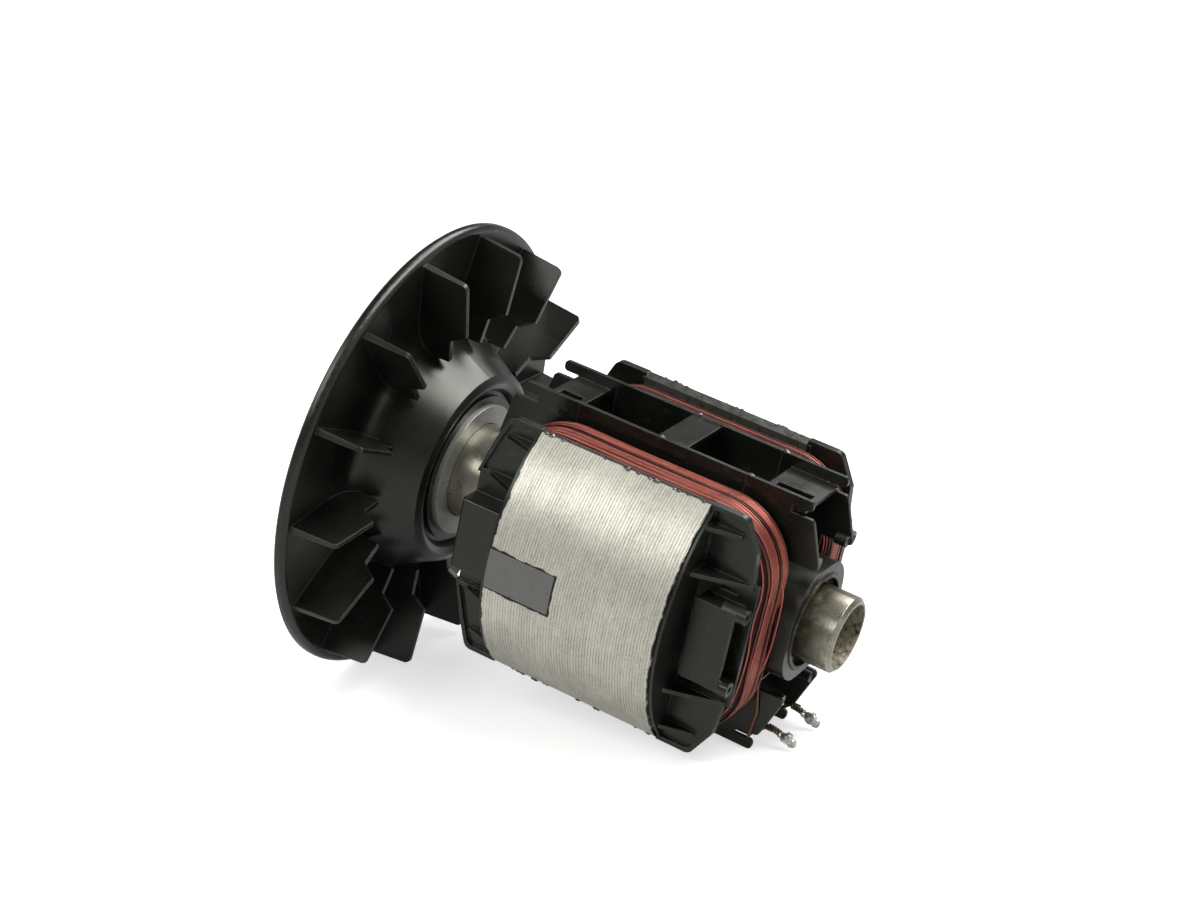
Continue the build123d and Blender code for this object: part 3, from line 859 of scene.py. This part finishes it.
@dataclass(frozen=True)
class DirtyWire:
    """Bare twisted wire ends, grey-brown with flux and dust."""

    name: str = "dirty_wire_ends"
    flux: Colour = (0.018, 0.015, 0.010)
    dirt: Colour = (0.085, 0.062, 0.035)
    tinned: Colour = (0.27, 0.25, 0.20)

    def build(self) -> bpy.types.Material:
        """Builds the material."""
        recipe = FinishRecipe(self.name, Metallic=0.5)
        cloud = recipe.noise(700.0, 4.0, 0.65)
        colour = recipe.ramp(cloud, [(0.35, self.flux), (0.52, self.dirt), (0.68, self.tinned)])
        recipe.surface(Base_Color=colour, Roughness=recipe.scaled(cloud, 0.5, 0.15))
        recipe.bump(cloud, strength=0.4, distance=0.1 * MM)
        return recipe.material


@dataclass(frozen=True)
class DullSolder:
    """Cold tin solder with flux left in its hollows."""

    name: str = "dull_solder"
    flux: Colour = (0.16, 0.13, 0.06)
    dull: Colour = (0.42, 0.41, 0.37)
    bright: Colour = (0.66, 0.65, 0.62)

    def build(self) -> bpy.types.Material:
        """Builds the material."""
        recipe = FinishRecipe(self.name, Metallic=0.8)
        lumps = recipe.noise(520.0, 4.0, 0.65)
        colour = recipe.ramp(lumps, [(0.32, self.flux), (0.48, self.dull), (0.7, self.bright)])
        recipe.surface(Base_Color=colour, Roughness=recipe.scaled(lumps, 0.5, 0.12))
        recipe.bump(lumps, strength=0.6, distance=0.3 * MM)
        return recipe.material


@dataclass(frozen=True)
class DriedVarnish:
    """Dark green-black dipping varnish, dried in glossy drips and crumbs."""

    name: str = "dried_varnish"
    colour: Colour = (0.018, 0.021, 0.017)
    cloudy: Colour = (0.055, 0.056, 0.045)

    def build(self) -> bpy.types.Material:
        """Builds the material."""
        recipe = FinishRecipe(self.name, Specular_IOR_Level=0.6, Coat_Roughness=0.08)
        cloud = recipe.noise(400.0, 3.0, 0.6)
        colour = recipe.mix(cloud, self.colour, self.cloudy)
        recipe.surface(
            Base_Color=colour,
            Roughness=recipe.scaled(cloud, 0.35, 0.12),
            Coat_Weight=recipe.times(cloud, 0.9),
        )
        recipe.bump(cloud, strength=0.5, distance=0.3 * MM)
        return recipe.material


class FinishShelf:
    """All finishes of the rotor, built once and shared by its pieces."""

    def __init__(self) -> None:
        """Builds every material."""
        self.fan = MouldedPlastic("fan_plastic_satin", smooth=0.25, rough=0.38).build()
        self.frames = MouldedPlastic(
            "frame_plastic_varnished", smooth=0.20, rough=0.40, grain=1800.0
        ).build()
        self.sheets = SheetSteel().build()
        self.shaft = TurnedSteel(
            "turned_shaft_steel", light=(0.32, 0.305, 0.25), smooth=0.20, rough=0.40, glint=0.12
        ).build()
        self.bush = TurnedSteel(
            "turned_bush_steel", light=(0.29, 0.295, 0.265), dark=(0.18, 0.183, 0.160), metal=0.45
        ).build()
        self.magnet = SinteredFerrite().build()
        self.wire = EnamelledWire().build()
        self.lead = EnamelledWire(
            "dark_lead_wire", bright=(0.13, 0.062, 0.028), deep=(0.045, 0.020, 0.010)
        ).build()
        self.wire_bed = WireBed().build()
        self.wire_ends = DirtyWire().build()
        self.solder = DullSolder().build()
        self.varnish = DriedVarnish().build()

    def dress(self, node: str, material: bpy.types.Material) -> None:
        """Gives a CAD node its finish.

        Args:
            node: name of the node.
            material: its finish.
        """
        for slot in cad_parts[node].material_slots:
            slot.material = material


@dataclass
class WindingPack:
    """One winding: layers of round wire laid as flat loops round the pole, over a dark core."""

    side: Side
    wire: float = 0.36 * MM
    near: float = 13.05 * MM
    far: float = 30.5 * MM
    fan_end: float = -16.9 * MM
    free_end: float = 80.8 * MM
    half_height: float = 38.6 * MM
    corner: float = 22.0 * MM
    window_fan: float = -2.2 * MM
    window_free: float = 61.2 * MM
    window_half: float = 23.5 * MM
    window_corner: float = 1.4 * MM
    crown_reach: float = 3.2 * MM
    crown_drop: float = 2.4 * MM
    slide: float = 0.95
    sink: float = 0.35
    layer_step: float = 0.052
    first_layer: float = 0.10
    last_layer: float = 0.97
    close_steps: tuple[float, float] = (2.3, 2.7)
    open_steps: tuple[float, float] = (3.2, 4.8)
    behind_steps: tuple[float, float] = (2.2, 3.2)
    close_share: float = 0.66
    outer_darkest: float = 0.95
    outer_tone_power: float = 1.05
    behind_shade_tones: tuple[float, float] = (0.85, 1.0)
    edge_tones: tuple[float, float] = (0.1, 0.9)
    wave_rates: tuple[int, ...] = (1, 2, 3, 5)
    wave_sizes: tuple[float, float] = (0.2, 1.0)
    filling_inset: float = 0.75 * MM
    steps: int = 26
    corner_steps: int = 9
    seed: int = 41

    def outline(self, depth: float) -> list[tuple[float, float]]:
        """Flat loop round the pole.

        Args:
            depth: 0 on the outside of the winding, 1 at its window.

        Returns:
            Points along the shaft and in height, in metres, evenly cut on each stretch.
        """
        low = between(self.fan_end, self.window_fan, depth)
        high = between(self.free_end, self.window_free, depth)
        half = between(self.half_height, self.window_half, depth)
        round_off = between(self.corner, self.window_corner, depth)
        points: list[tuple[float, float]] = []
        corners = (
            (high - round_off, half - round_off, 90.0),
            (high - round_off, -half + round_off, 0.0),
            (low + round_off, -half + round_off, -90.0),
            (low + round_off, half - round_off, -180.0),
        )
        for index, (x, z, start) in enumerate(corners):
            for step in range(self.corner_steps + 1):
                angle = math.radians(start - 90.0 * step / self.corner_steps)
                points.append((x + round_off * math.cos(angle), z + round_off * math.sin(angle)))
            next_x, next_z, next_start = corners[(index + 1) % len(corners)]
            turn = math.radians(next_start)
            aim = (next_x + round_off * math.cos(turn), next_z + round_off * math.sin(turn))
            here = points[-1]
            for step in range(1, self.steps):
                share = step / self.steps
                points.append((between(here[0], aim[0], share), between(here[1], aim[1], share)))
        return points

    def strand(self, across: float, depth: float, rng: random.Random) -> list[Vector]:
        """One turn of wire, slightly wandering.

        Args:
            across: distance from the shaft axis toward the pole face, in metres.
            depth: 0 on the outside, 1 at the window.
            rng: seeded source of the wander.

        Returns:
            Points of the closed loop.
        """
        points = self.outline(depth)
        count = len(points)
        waves = []
        for _ in range(4):
            rate = rng.choice(self.wave_rates)
            phase = rng.uniform(0, math.tau)
            waves.append((rate, phase, rng.uniform(*self.wave_sizes)))
        low = self.near + self.wire
        high = self.far - self.wire
        route = []
        centre_x = (self.fan_end + self.free_end) / 2
        for index, (x, z) in enumerate(points):
            turn = math.tau * index / count
            swings = [size * math.sin(rate * turn + phase) for rate, phase, size in waves]
            slide = sum(swings[:2]) * self.slide * self.wire
            sink = sum(swings[2:]) * self.sink * self.wire
            place = min(max(across + slide, low), high)
            edge = min(place - self.near, self.far - place)
            crown = max(0.0, 1.0 - edge / self.crown_reach) ** 2 * self.crown_drop * (1.0 - depth)
            inward = Vector((centre_x - x, 0.0, -z)).normalized()
            on_loop = Vector((x, self.side.value * place, z))
            route.append(on_loop + inward * (self.wire + crown + abs(sink)))
        return route

    def layers(self) -> tuple[list[list[Vector]], list[float]]:
        """All the turns that can be seen: two layers outside, and the edges of the deeper ones.

        Returns:
            The turns' points and their tones; the outer turns lie in uneven bunches, so that the
            darker turns behind, painted dark as shade, show between them.
        """
        rng = random.Random(self.seed + self.side.value)
        routes = []
        tones = []
        across = self.near + self.wire
        while across < self.far - self.wire:
            routes.append(self.strand(across, 0.0, rng))
            tones.append(self.outer_darkest * rng.random() ** self.outer_tone_power)
            steps = self.close_steps if rng.random() < self.close_share else self.open_steps
            across += self.wire * rng.uniform(*steps)
        across = self.near + self.wire
        while across < self.far - self.wire:
            routes.append(self.strand(across, self.layer_step, rng))
            # Painted shade: the turns behind take the darkest tones.
            tones.append(rng.uniform(*self.behind_shade_tones))
            across += self.wire * rng.uniform(*self.behind_steps)
        depth = self.first_layer
        while depth < self.last_layer:
            for across in (self.near + self.wire, self.far - self.wire):
                routes.append(self.strand(across, depth, rng))
                tones.append(rng.uniform(*self.edge_tones))
            depth += self.layer_step
        return routes, tones

    def filling(self, node: str) -> bpy.types.Object:
        """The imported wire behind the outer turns: a copy of the plain winding, drawn in a little.

        Args:
            node: name of the winding's node.

        Returns:
            The copy, in the row's frame.
        """
        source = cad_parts[node]
        copy = bpy.data.objects.new(f"{node}_filling", source.data.copy())
        bpy.context.scene.collection.objects.link(copy)
        pick(copy)
        bpy.ops.object.mode_set(mode="EDIT")
        bpy.ops.mesh.select_all(action="SELECT")
        bpy.ops.mesh.remove_doubles(threshold=0.02 * MM)
        bpy.ops.transform.shrink_fatten(value=-self.filling_inset)
        bpy.ops.object.mode_set(mode="OBJECT")
        return copy

    def build(self, finishes: FinishShelf) -> bpy.types.Object:
        """Builds the winding and puts it in its node's place.

        Args:
            finishes: the rotor's finishes.

        Returns:
            The winding.
        """
        number = self.side.number
        node = f"coil_pole_{number}"
        routes, tones = self.layers()
        turns = wire_mesh(f"winding_{number}_turns", routes, self.wire, closed=True, tones=tones)
        PLACEMENT.settle(turns)
        turns.data.materials.append(finishes.wire)
        filling = self.filling(node)
        # The filling wears the near-black bed: painted shade between the outer turns.
        filling.data.materials.clear()
        filling.data.materials.append(finishes.wire_bed)
        winding = join_pieces([turns, filling], f"winding_of_pole_{number}")
        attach(winding, "root")
        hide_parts(node)
        return winding


@dataclass
class SolderedPigtail:
    """Twisted wire ends with a lump of solder at the tip."""

    side: Side
    start_x: float = 84.2 * MM
    beside: float = 8.6 * MM
    height: float = -35.5 * MM
    length: float = 6.4 * MM
    sag: float = 1.4 * MM
    wire: float = 0.40 * MM
    twist: float = 0.70 * MM
    twist_turns: float = 2.2
    strands: int = 3
    steps: int = 40
    drop_unevenness: float = 0.5 * MM

    def centre(self, share: float) -> Vector:
        """Middle of the twist at a share of its length."""
        return Vector((
            self.start_x + self.length * share,
            self.side.value * self.beside,
            self.height - self.sag * share * share,
        ))

    def lump(self, centre: Vector, size: Vector, seed: int) -> bpy.types.Object:
        """One uneven drop of solder.

        Args:
            centre: its middle, in the shaft's frame.
            size: its half sizes, in metres.
            seed: seed of its unevenness.

        Returns:
            The drop.
        """
        clear_selection()
        bpy.ops.mesh.primitive_ico_sphere_add(subdivisions=3, radius=1.0, location=centre)
        drop = bpy.context.object
        drop.scale = size
        bpy.ops.object.transform_apply(location=True, rotation=True, scale=True)
        bpy.ops.object.mode_set(mode="EDIT")
        bpy.ops.mesh.select_all(action="SELECT")
        bpy.ops.transform.vertex_random(
            offset=self.drop_unevenness, uniform=0.3, normal=0.6, seed=seed
        )
        bpy.ops.mesh.vertices_smooth(factor=0.5, repeat=2)
        bpy.ops.object.mode_set(mode="OBJECT")
        bpy.ops.object.shade_smooth()
        return drop

    def build(self, finishes: FinishShelf) -> bpy.types.Object:
        """Builds the pigtail and puts it in its node's place.

        Args:
            finishes: the rotor's finishes.

        Returns:
            The pigtail.
        """
        number = self.side.number
        routes = []
        for strand in range(self.strands):
            route = []
            for step in range(self.steps + 1):
                share = step / self.steps
                angle = math.tau * (self.twist_turns * share + strand / self.strands)
                swing = Vector((0.0, math.cos(angle), math.sin(angle))) * self.twist
                route.append(self.centre(share) + swing)
            routes.append(route)
        twist = wire_mesh(f"pigtail_{number}_twist", routes, self.wire, closed=False, sides=2)
        twist.data.materials.append(finishes.wire_ends)
        tip = self.centre(1.0)
        drops_mm = (
            ((0.4, 0.1, 0.0), (2.3, 1.3, 2.0)),
            ((2.2, 0.3, -1.0), (1.7, 1.0, 1.7)),
            ((-1.9, -0.3, 0.5), (1.0, 1.2, 1.0)),
            ((1.0, 0.5, 1.3), (1.0, 0.8, 0.9)),
        )
        lumps = []
        for index, (offset, size) in enumerate(drops_mm):
            seed = 3 + 6 * index + number
            drop = self.lump(tip + Vector(offset) * MM, Vector(size) * MM, seed)
            drop.data.materials.append(finishes.solder)
            lumps.append(drop)
        pigtail = join_pieces([twist, *lumps], f"soldered_pigtail_{number}")
        PLACEMENT.settle(pigtail)
        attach(pigtail, "root")
        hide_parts(f"solder_pigtail_{number}")
        return pigtail


@dataclass
class VarnishCrumbs:
    """Crumbs and drips of dried varnish along the pole tips and on the walls' joints."""

    tip_depth: float = 34.4 * MM
    tip_height: float = 40.3 * MM
    wall_depth: float = 12.3 * MM
    wall_top: float = 43.5 * MM
    tip_reach_mm: tuple[float, float] = (0.5, 58.5)
    tip_crumbs_mm: tuple[float, ...] = (0.35, 0.45, 0.55, 0.8)
    crumbs_per_tip: int = 13
    wall_joints_mm: tuple[float, float] = (29.0, 60.0)
    wall_crumb: float = 0.8 * MM
    stretch: Point = (1.6, 0.8, 0.7)
    unevenness: float = 0.4

    def places(self) -> list[tuple[Vector, float]]:
        """Where the crumbs sit and how large they are, in the shaft's frame."""
        rng = random.Random(17)
        spots: list[tuple[Vector, float]] = []
        for side in Side:
            for height in (-1, 1):
                for _ in range(self.crumbs_per_tip):
                    x = rng.uniform(*self.tip_reach_mm) * MM
                    size = rng.choice(self.tip_crumbs_mm) * MM
                    spot = Vector((x, side.value * self.tip_depth, height * self.tip_height))
                    spots.append((spot, size))
                for joint in self.wall_joints_mm:
                    depth = side.value * self.wall_depth
                    spot = Vector((joint * MM, depth, height * self.wall_top))
                    spots.append((spot, self.wall_crumb))
        return spots

    def build(self, finishes: FinishShelf) -> bpy.types.Object:
        """Builds the crumbs as one piece.

        Args:
            finishes: the rotor's finishes.

        Returns:
            The crumbs.
        """
        crumbs = []
        for seed, (spot, size) in enumerate(self.places()):
            clear_selection()
            bpy.ops.mesh.primitive_ico_sphere_add(subdivisions=2, radius=size, location=spot)
            crumb = bpy.context.object
            crumb.scale = self.stretch
            bpy.ops.object.transform_apply(location=True, rotation=True, scale=True)
            bpy.ops.object.mode_set(mode="EDIT")
            bpy.ops.mesh.select_all(action="SELECT")
            bpy.ops.transform.vertex_random(
                offset=size * self.unevenness, uniform=0.3, normal=0.4, seed=seed
            )
            bpy.ops.object.mode_set(mode="OBJECT")
            bpy.ops.object.shade_smooth()
            crumbs.append(crumb)
        piece = join_pieces(crumbs, "dried_varnish_crumbs")
        PLACEMENT.settle(piece)
        piece.data.materials.clear()
        piece.data.materials.append(finishes.varnish)
        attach(piece, "root")
        return piece


@dataclass
class LooseStrands:
    """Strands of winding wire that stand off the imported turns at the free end."""

    wire: float = 0.33 * MM
    steps: int = 8

    def routes(self) -> list[list[Vector]]:
        """The strands' points, in the shaft's frame."""
        mm = [
            [
                (80.3, -17.9, 9.0),
                (81.3, -18.1, 4.0),
                (81.5, -18.2, -6.0),
                (81.2, -18.2, -14.0),
                (79.8, -17.7, -22.0),
            ],
            [
                (79.4, -19.0, 18.5),
                (81.4, -18.4, 14.0),
                (82.0, -18.3, 4.0),
                (81.6, -18.4, -8.0),
                (79.2, -19.5, -21.0),
            ],
        ]
        return [[Vector(point) * MM for point in route] for route in mm]

    def build(self, finishes: FinishShelf) -> bpy.types.Object:
        """Builds the strands as one piece.

        Args:
            finishes: the rotor's finishes.

        Returns:
            The strands.
        """
        smooth = [rounded_route(route, self.steps) for route in self.routes()]
        piece = wire_mesh("loose_winding_strands", smooth, self.wire, closed=False, sides=2)
        PLACEMENT.settle(piece)
        piece.data.materials.append(finishes.wire)
        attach(piece, "root")
        return piece


class RotorFrame:
    """The rotor's rigid pieces, as the solids give them, with their finishes."""

    def __init__(self, finishes: FinishShelf) -> None:
        """Keeps the finishes.

        Args:
            finishes: the rotor's finishes.
        """
        self.finishes = finishes

    def dress(self) -> None:
        """Dresses every node that stays in view."""
        shelf = self.finishes
        by_node = {
            "rotor_shaft": shelf.shaft,
            "fan_bush": shelf.bush,
            "cooling_fan": shelf.fan,
            "lamination_stack": shelf.sheets,
            "pole_magnet_1": shelf.magnet,
            "pole_magnet_2": shelf.magnet,
            "slot_channel_upper": shelf.frames,
            "slot_channel_lower": shelf.frames,
            "end_frame_fan_side": shelf.frames,
            "end_frame_free_side": shelf.frames,
            "slot_liner_1_upper": shelf.varnish,
            "slot_liner_1_lower": shelf.varnish,
            "slot_liner_2_upper": shelf.varnish,
            "slot_liner_2_lower": shelf.varnish,
            "rectifier_diode": shelf.frames,
            "winding_lead_1": shelf.lead,
            "winding_lead_2": shelf.lead,
            "series_link": shelf.lead,
        }
        for node, material in by_node.items():
            shelf.dress(node, material)
            log.info("dressed %s in %s", node, material.name)


@dataclass(frozen=True)
class SoftLamp:
    """A rectangular soft lamp; one for gloss alone shows as a bright wall would."""

    name: str
    place: Point
    aim: Point
    size: tuple[float, float]
    watts: float
    gloss_only: bool = False

    def light(self) -> None:
        """Adds the lamp."""
        data = bpy.data.lights.new(self.name, "AREA")
        data.shape = "RECTANGLE"
        data.size, data.size_y = self.size
        data.energy = self.watts
        lamp = bpy.data.objects.new(self.name, data)
        lamp.location = self.place
        facing = Vector(self.aim) - Vector(self.place)
        lamp.rotation_euler = facing.to_track_quat("-Z", "Y").to_euler()
        lamp.visible_diffuse = not self.gloss_only
        bpy.context.scene.collection.objects.link(lamp)


LAMPS = (
    SoftLamp("key_softbox", (-0.25, -0.60, 0.62), (0.0, 0.0, 0.06), (0.45, 0.35), 3.6),
    SoftLamp("top_softbox", (0.42, 0.03, 0.80), (-0.04, 0.0, 0.08), (0.42, 0.42), 6.6),
    SoftLamp("free_end_strip", (0.75, -0.1, 0.35), (0.05, 0.0, 0.06), (0.20, 0.45), 0.6),
    SoftLamp(
        "broad_gloss", (0.33, 0.50, 0.80), (-0.05, 0.0, 0.09), (1.1, 0.45), 17.0, gloss_only=True
    ),
)


@dataclass
class PhotoStudio:
    """White sweep, soft lamps and the camera that looks at the rotor from above its free end."""

    camera_place: Point = (0.38043, -0.67744, 0.35154)
    camera_turn_deg: Point = (71.0012, 0.1436, 29.3378)
    lens: float = 78.728
    sensor: float = 36.0
    floor_size: float = 9.0
    floor_colour: Colour = (0.64, 0.64, 0.635)
    floor_gloss: float = 0.35
    floor_roughness: float = 0.35
    floor_mirrored: float = 0.26
    glow_reach: tuple[float, float] = (0.06, 0.17)
    glow: tuple[float, float] = (0.64, 1.0)
    ceiling_from: float = 0.28
    sky_shown: tuple[float, float] = (0.75, 0.10)
    sky_light: float = 0.40

    def camera(self) -> None:
        """Adds the camera."""
        data = bpy.data.cameras.new("rotor_camera")
        data.lens = self.lens
        data.sensor_width = self.sensor
        camera = bpy.data.objects.new("rotor_camera", data)
        camera.location = self.camera_place
        camera.rotation_euler = tuple(math.radians(angle) for angle in self.camera_turn_deg)
        bpy.context.scene.collection.objects.link(camera)
        bpy.context.scene.camera = camera

    def floor(self) -> None:
        """Adds the white floor, which keeps the rotor's shadow."""
        clear_selection()
        bpy.ops.mesh.primitive_plane_add(size=self.floor_size, location=(0.0, 0.0, 0.0))
        floor = bpy.context.object
        floor.name = "studio_floor"
        material = bpy.data.materials.new("white_sweep")
        material.use_nodes = True
        recipe = Recipe(material.node_tree)
        shader = recipe.node(
            "ShaderNodeBsdfPrincipled",
            Base_Color=(*self.floor_colour, 1.0),
            Roughness=self.floor_roughness,
            Specular_IOR_Level=self.floor_gloss,
        )
        glow = recipe.node("ShaderNodeEmission")
        rays = recipe.node("ShaderNodeLightPath").outputs
        mirrored = recipe.math("MAXIMUM", rays["Is Glossy Ray"], rays["Is Transmission Ray"])
        mirrored = recipe.times(mirrored, self.floor_mirrored)
        seen = recipe.math("MAXIMUM", rays["Is Camera Ray"], mirrored)
        texture = recipe.node("ShaderNodeTexCoord")
        reach = recipe.node("ShaderNodeVectorMath", operation="LENGTH")
        recipe.link(texture.outputs["Object"], reach.inputs[0])
        beyond = recipe.spread(reach.outputs["Value"], self.glow_reach, self.glow, smooth=True)
        recipe.feed(glow, Strength=recipe.times(seen, beyond))
        both = recipe.node("ShaderNodeAddShader")
        recipe.link(shader.outputs[0], both.inputs[0])
        recipe.link(glow.outputs[0], both.inputs[1])
        output = recipe.node("ShaderNodeOutputMaterial")
        recipe.link(both.outputs[0], output.inputs[0])
        floor.data.materials.append(material)

    def sky(self) -> None:
        """Sets a white world: full to the camera and to reflections, softer as light."""
        world = bpy.data.worlds.new("studio_air")
        bpy.context.scene.world = world
        world.use_nodes = True
        recipe = Recipe(world.node_tree)
        rays = recipe.node("ShaderNodeLightPath").outputs
        seen = recipe.math("MAXIMUM", rays["Is Camera Ray"], rays["Is Glossy Ray"])
        seen = recipe.math("MAXIMUM", seen, rays["Is Transmission Ray"])
        texture = recipe.node("ShaderNodeTexCoord")
        split = recipe.node("ShaderNodeSeparateXYZ")
        recipe.link(texture.outputs["Generated"], split.inputs[0])
        rise = (0.0, self.ceiling_from)
        ceiling = recipe.spread(split.outputs["Z"], rise, self.sky_shown, smooth=True)
        bright = recipe.times(seen, ceiling)
        bright = recipe.math("MAXIMUM", bright, rays["Is Camera Ray"])
        diffuse = recipe.times(recipe.minus(1.0, seen), self.sky_light)
        strength = recipe.math("MAXIMUM", bright, diffuse)
        air = recipe.node("ShaderNodeBackground", Color=(*FULL, 1.0))
        recipe.feed(air, Strength=strength)
        output = recipe.node("ShaderNodeOutputWorld")
        recipe.link(air.outputs[0], output.inputs[0])

    def build(self) -> None:
        """Builds the studio."""
        self.camera()
        self.floor()
        self.sky()
        for lamp in LAMPS:
            lamp.light()
        bpy.context.scene.view_settings.view_transform = "Standard"


def main() -> None:
    """Builds the studio, dresses the rotor and adds its detailed pieces."""
    logging.basicConfig(level=logging.INFO, format="%(message)s")
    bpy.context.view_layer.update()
    PhotoStudio().build()
    finishes = FinishShelf()
    RotorFrame(finishes).dress()
    for side in Side:
        for piece in (WindingPack(side).build(finishes), SolderedPigtail(side).build(finishes)):
            log.info("built %s, %d faces", piece.name, len(piece.data.polygons))
    for piece in (VarnishCrumbs().build(finishes), LooseStrands().build(finishes)):
        log.info("built %s, %d faces", piece.name, len(piece.data.polygons))
    clear_selection()


if __name__ == "__main__":
    main()
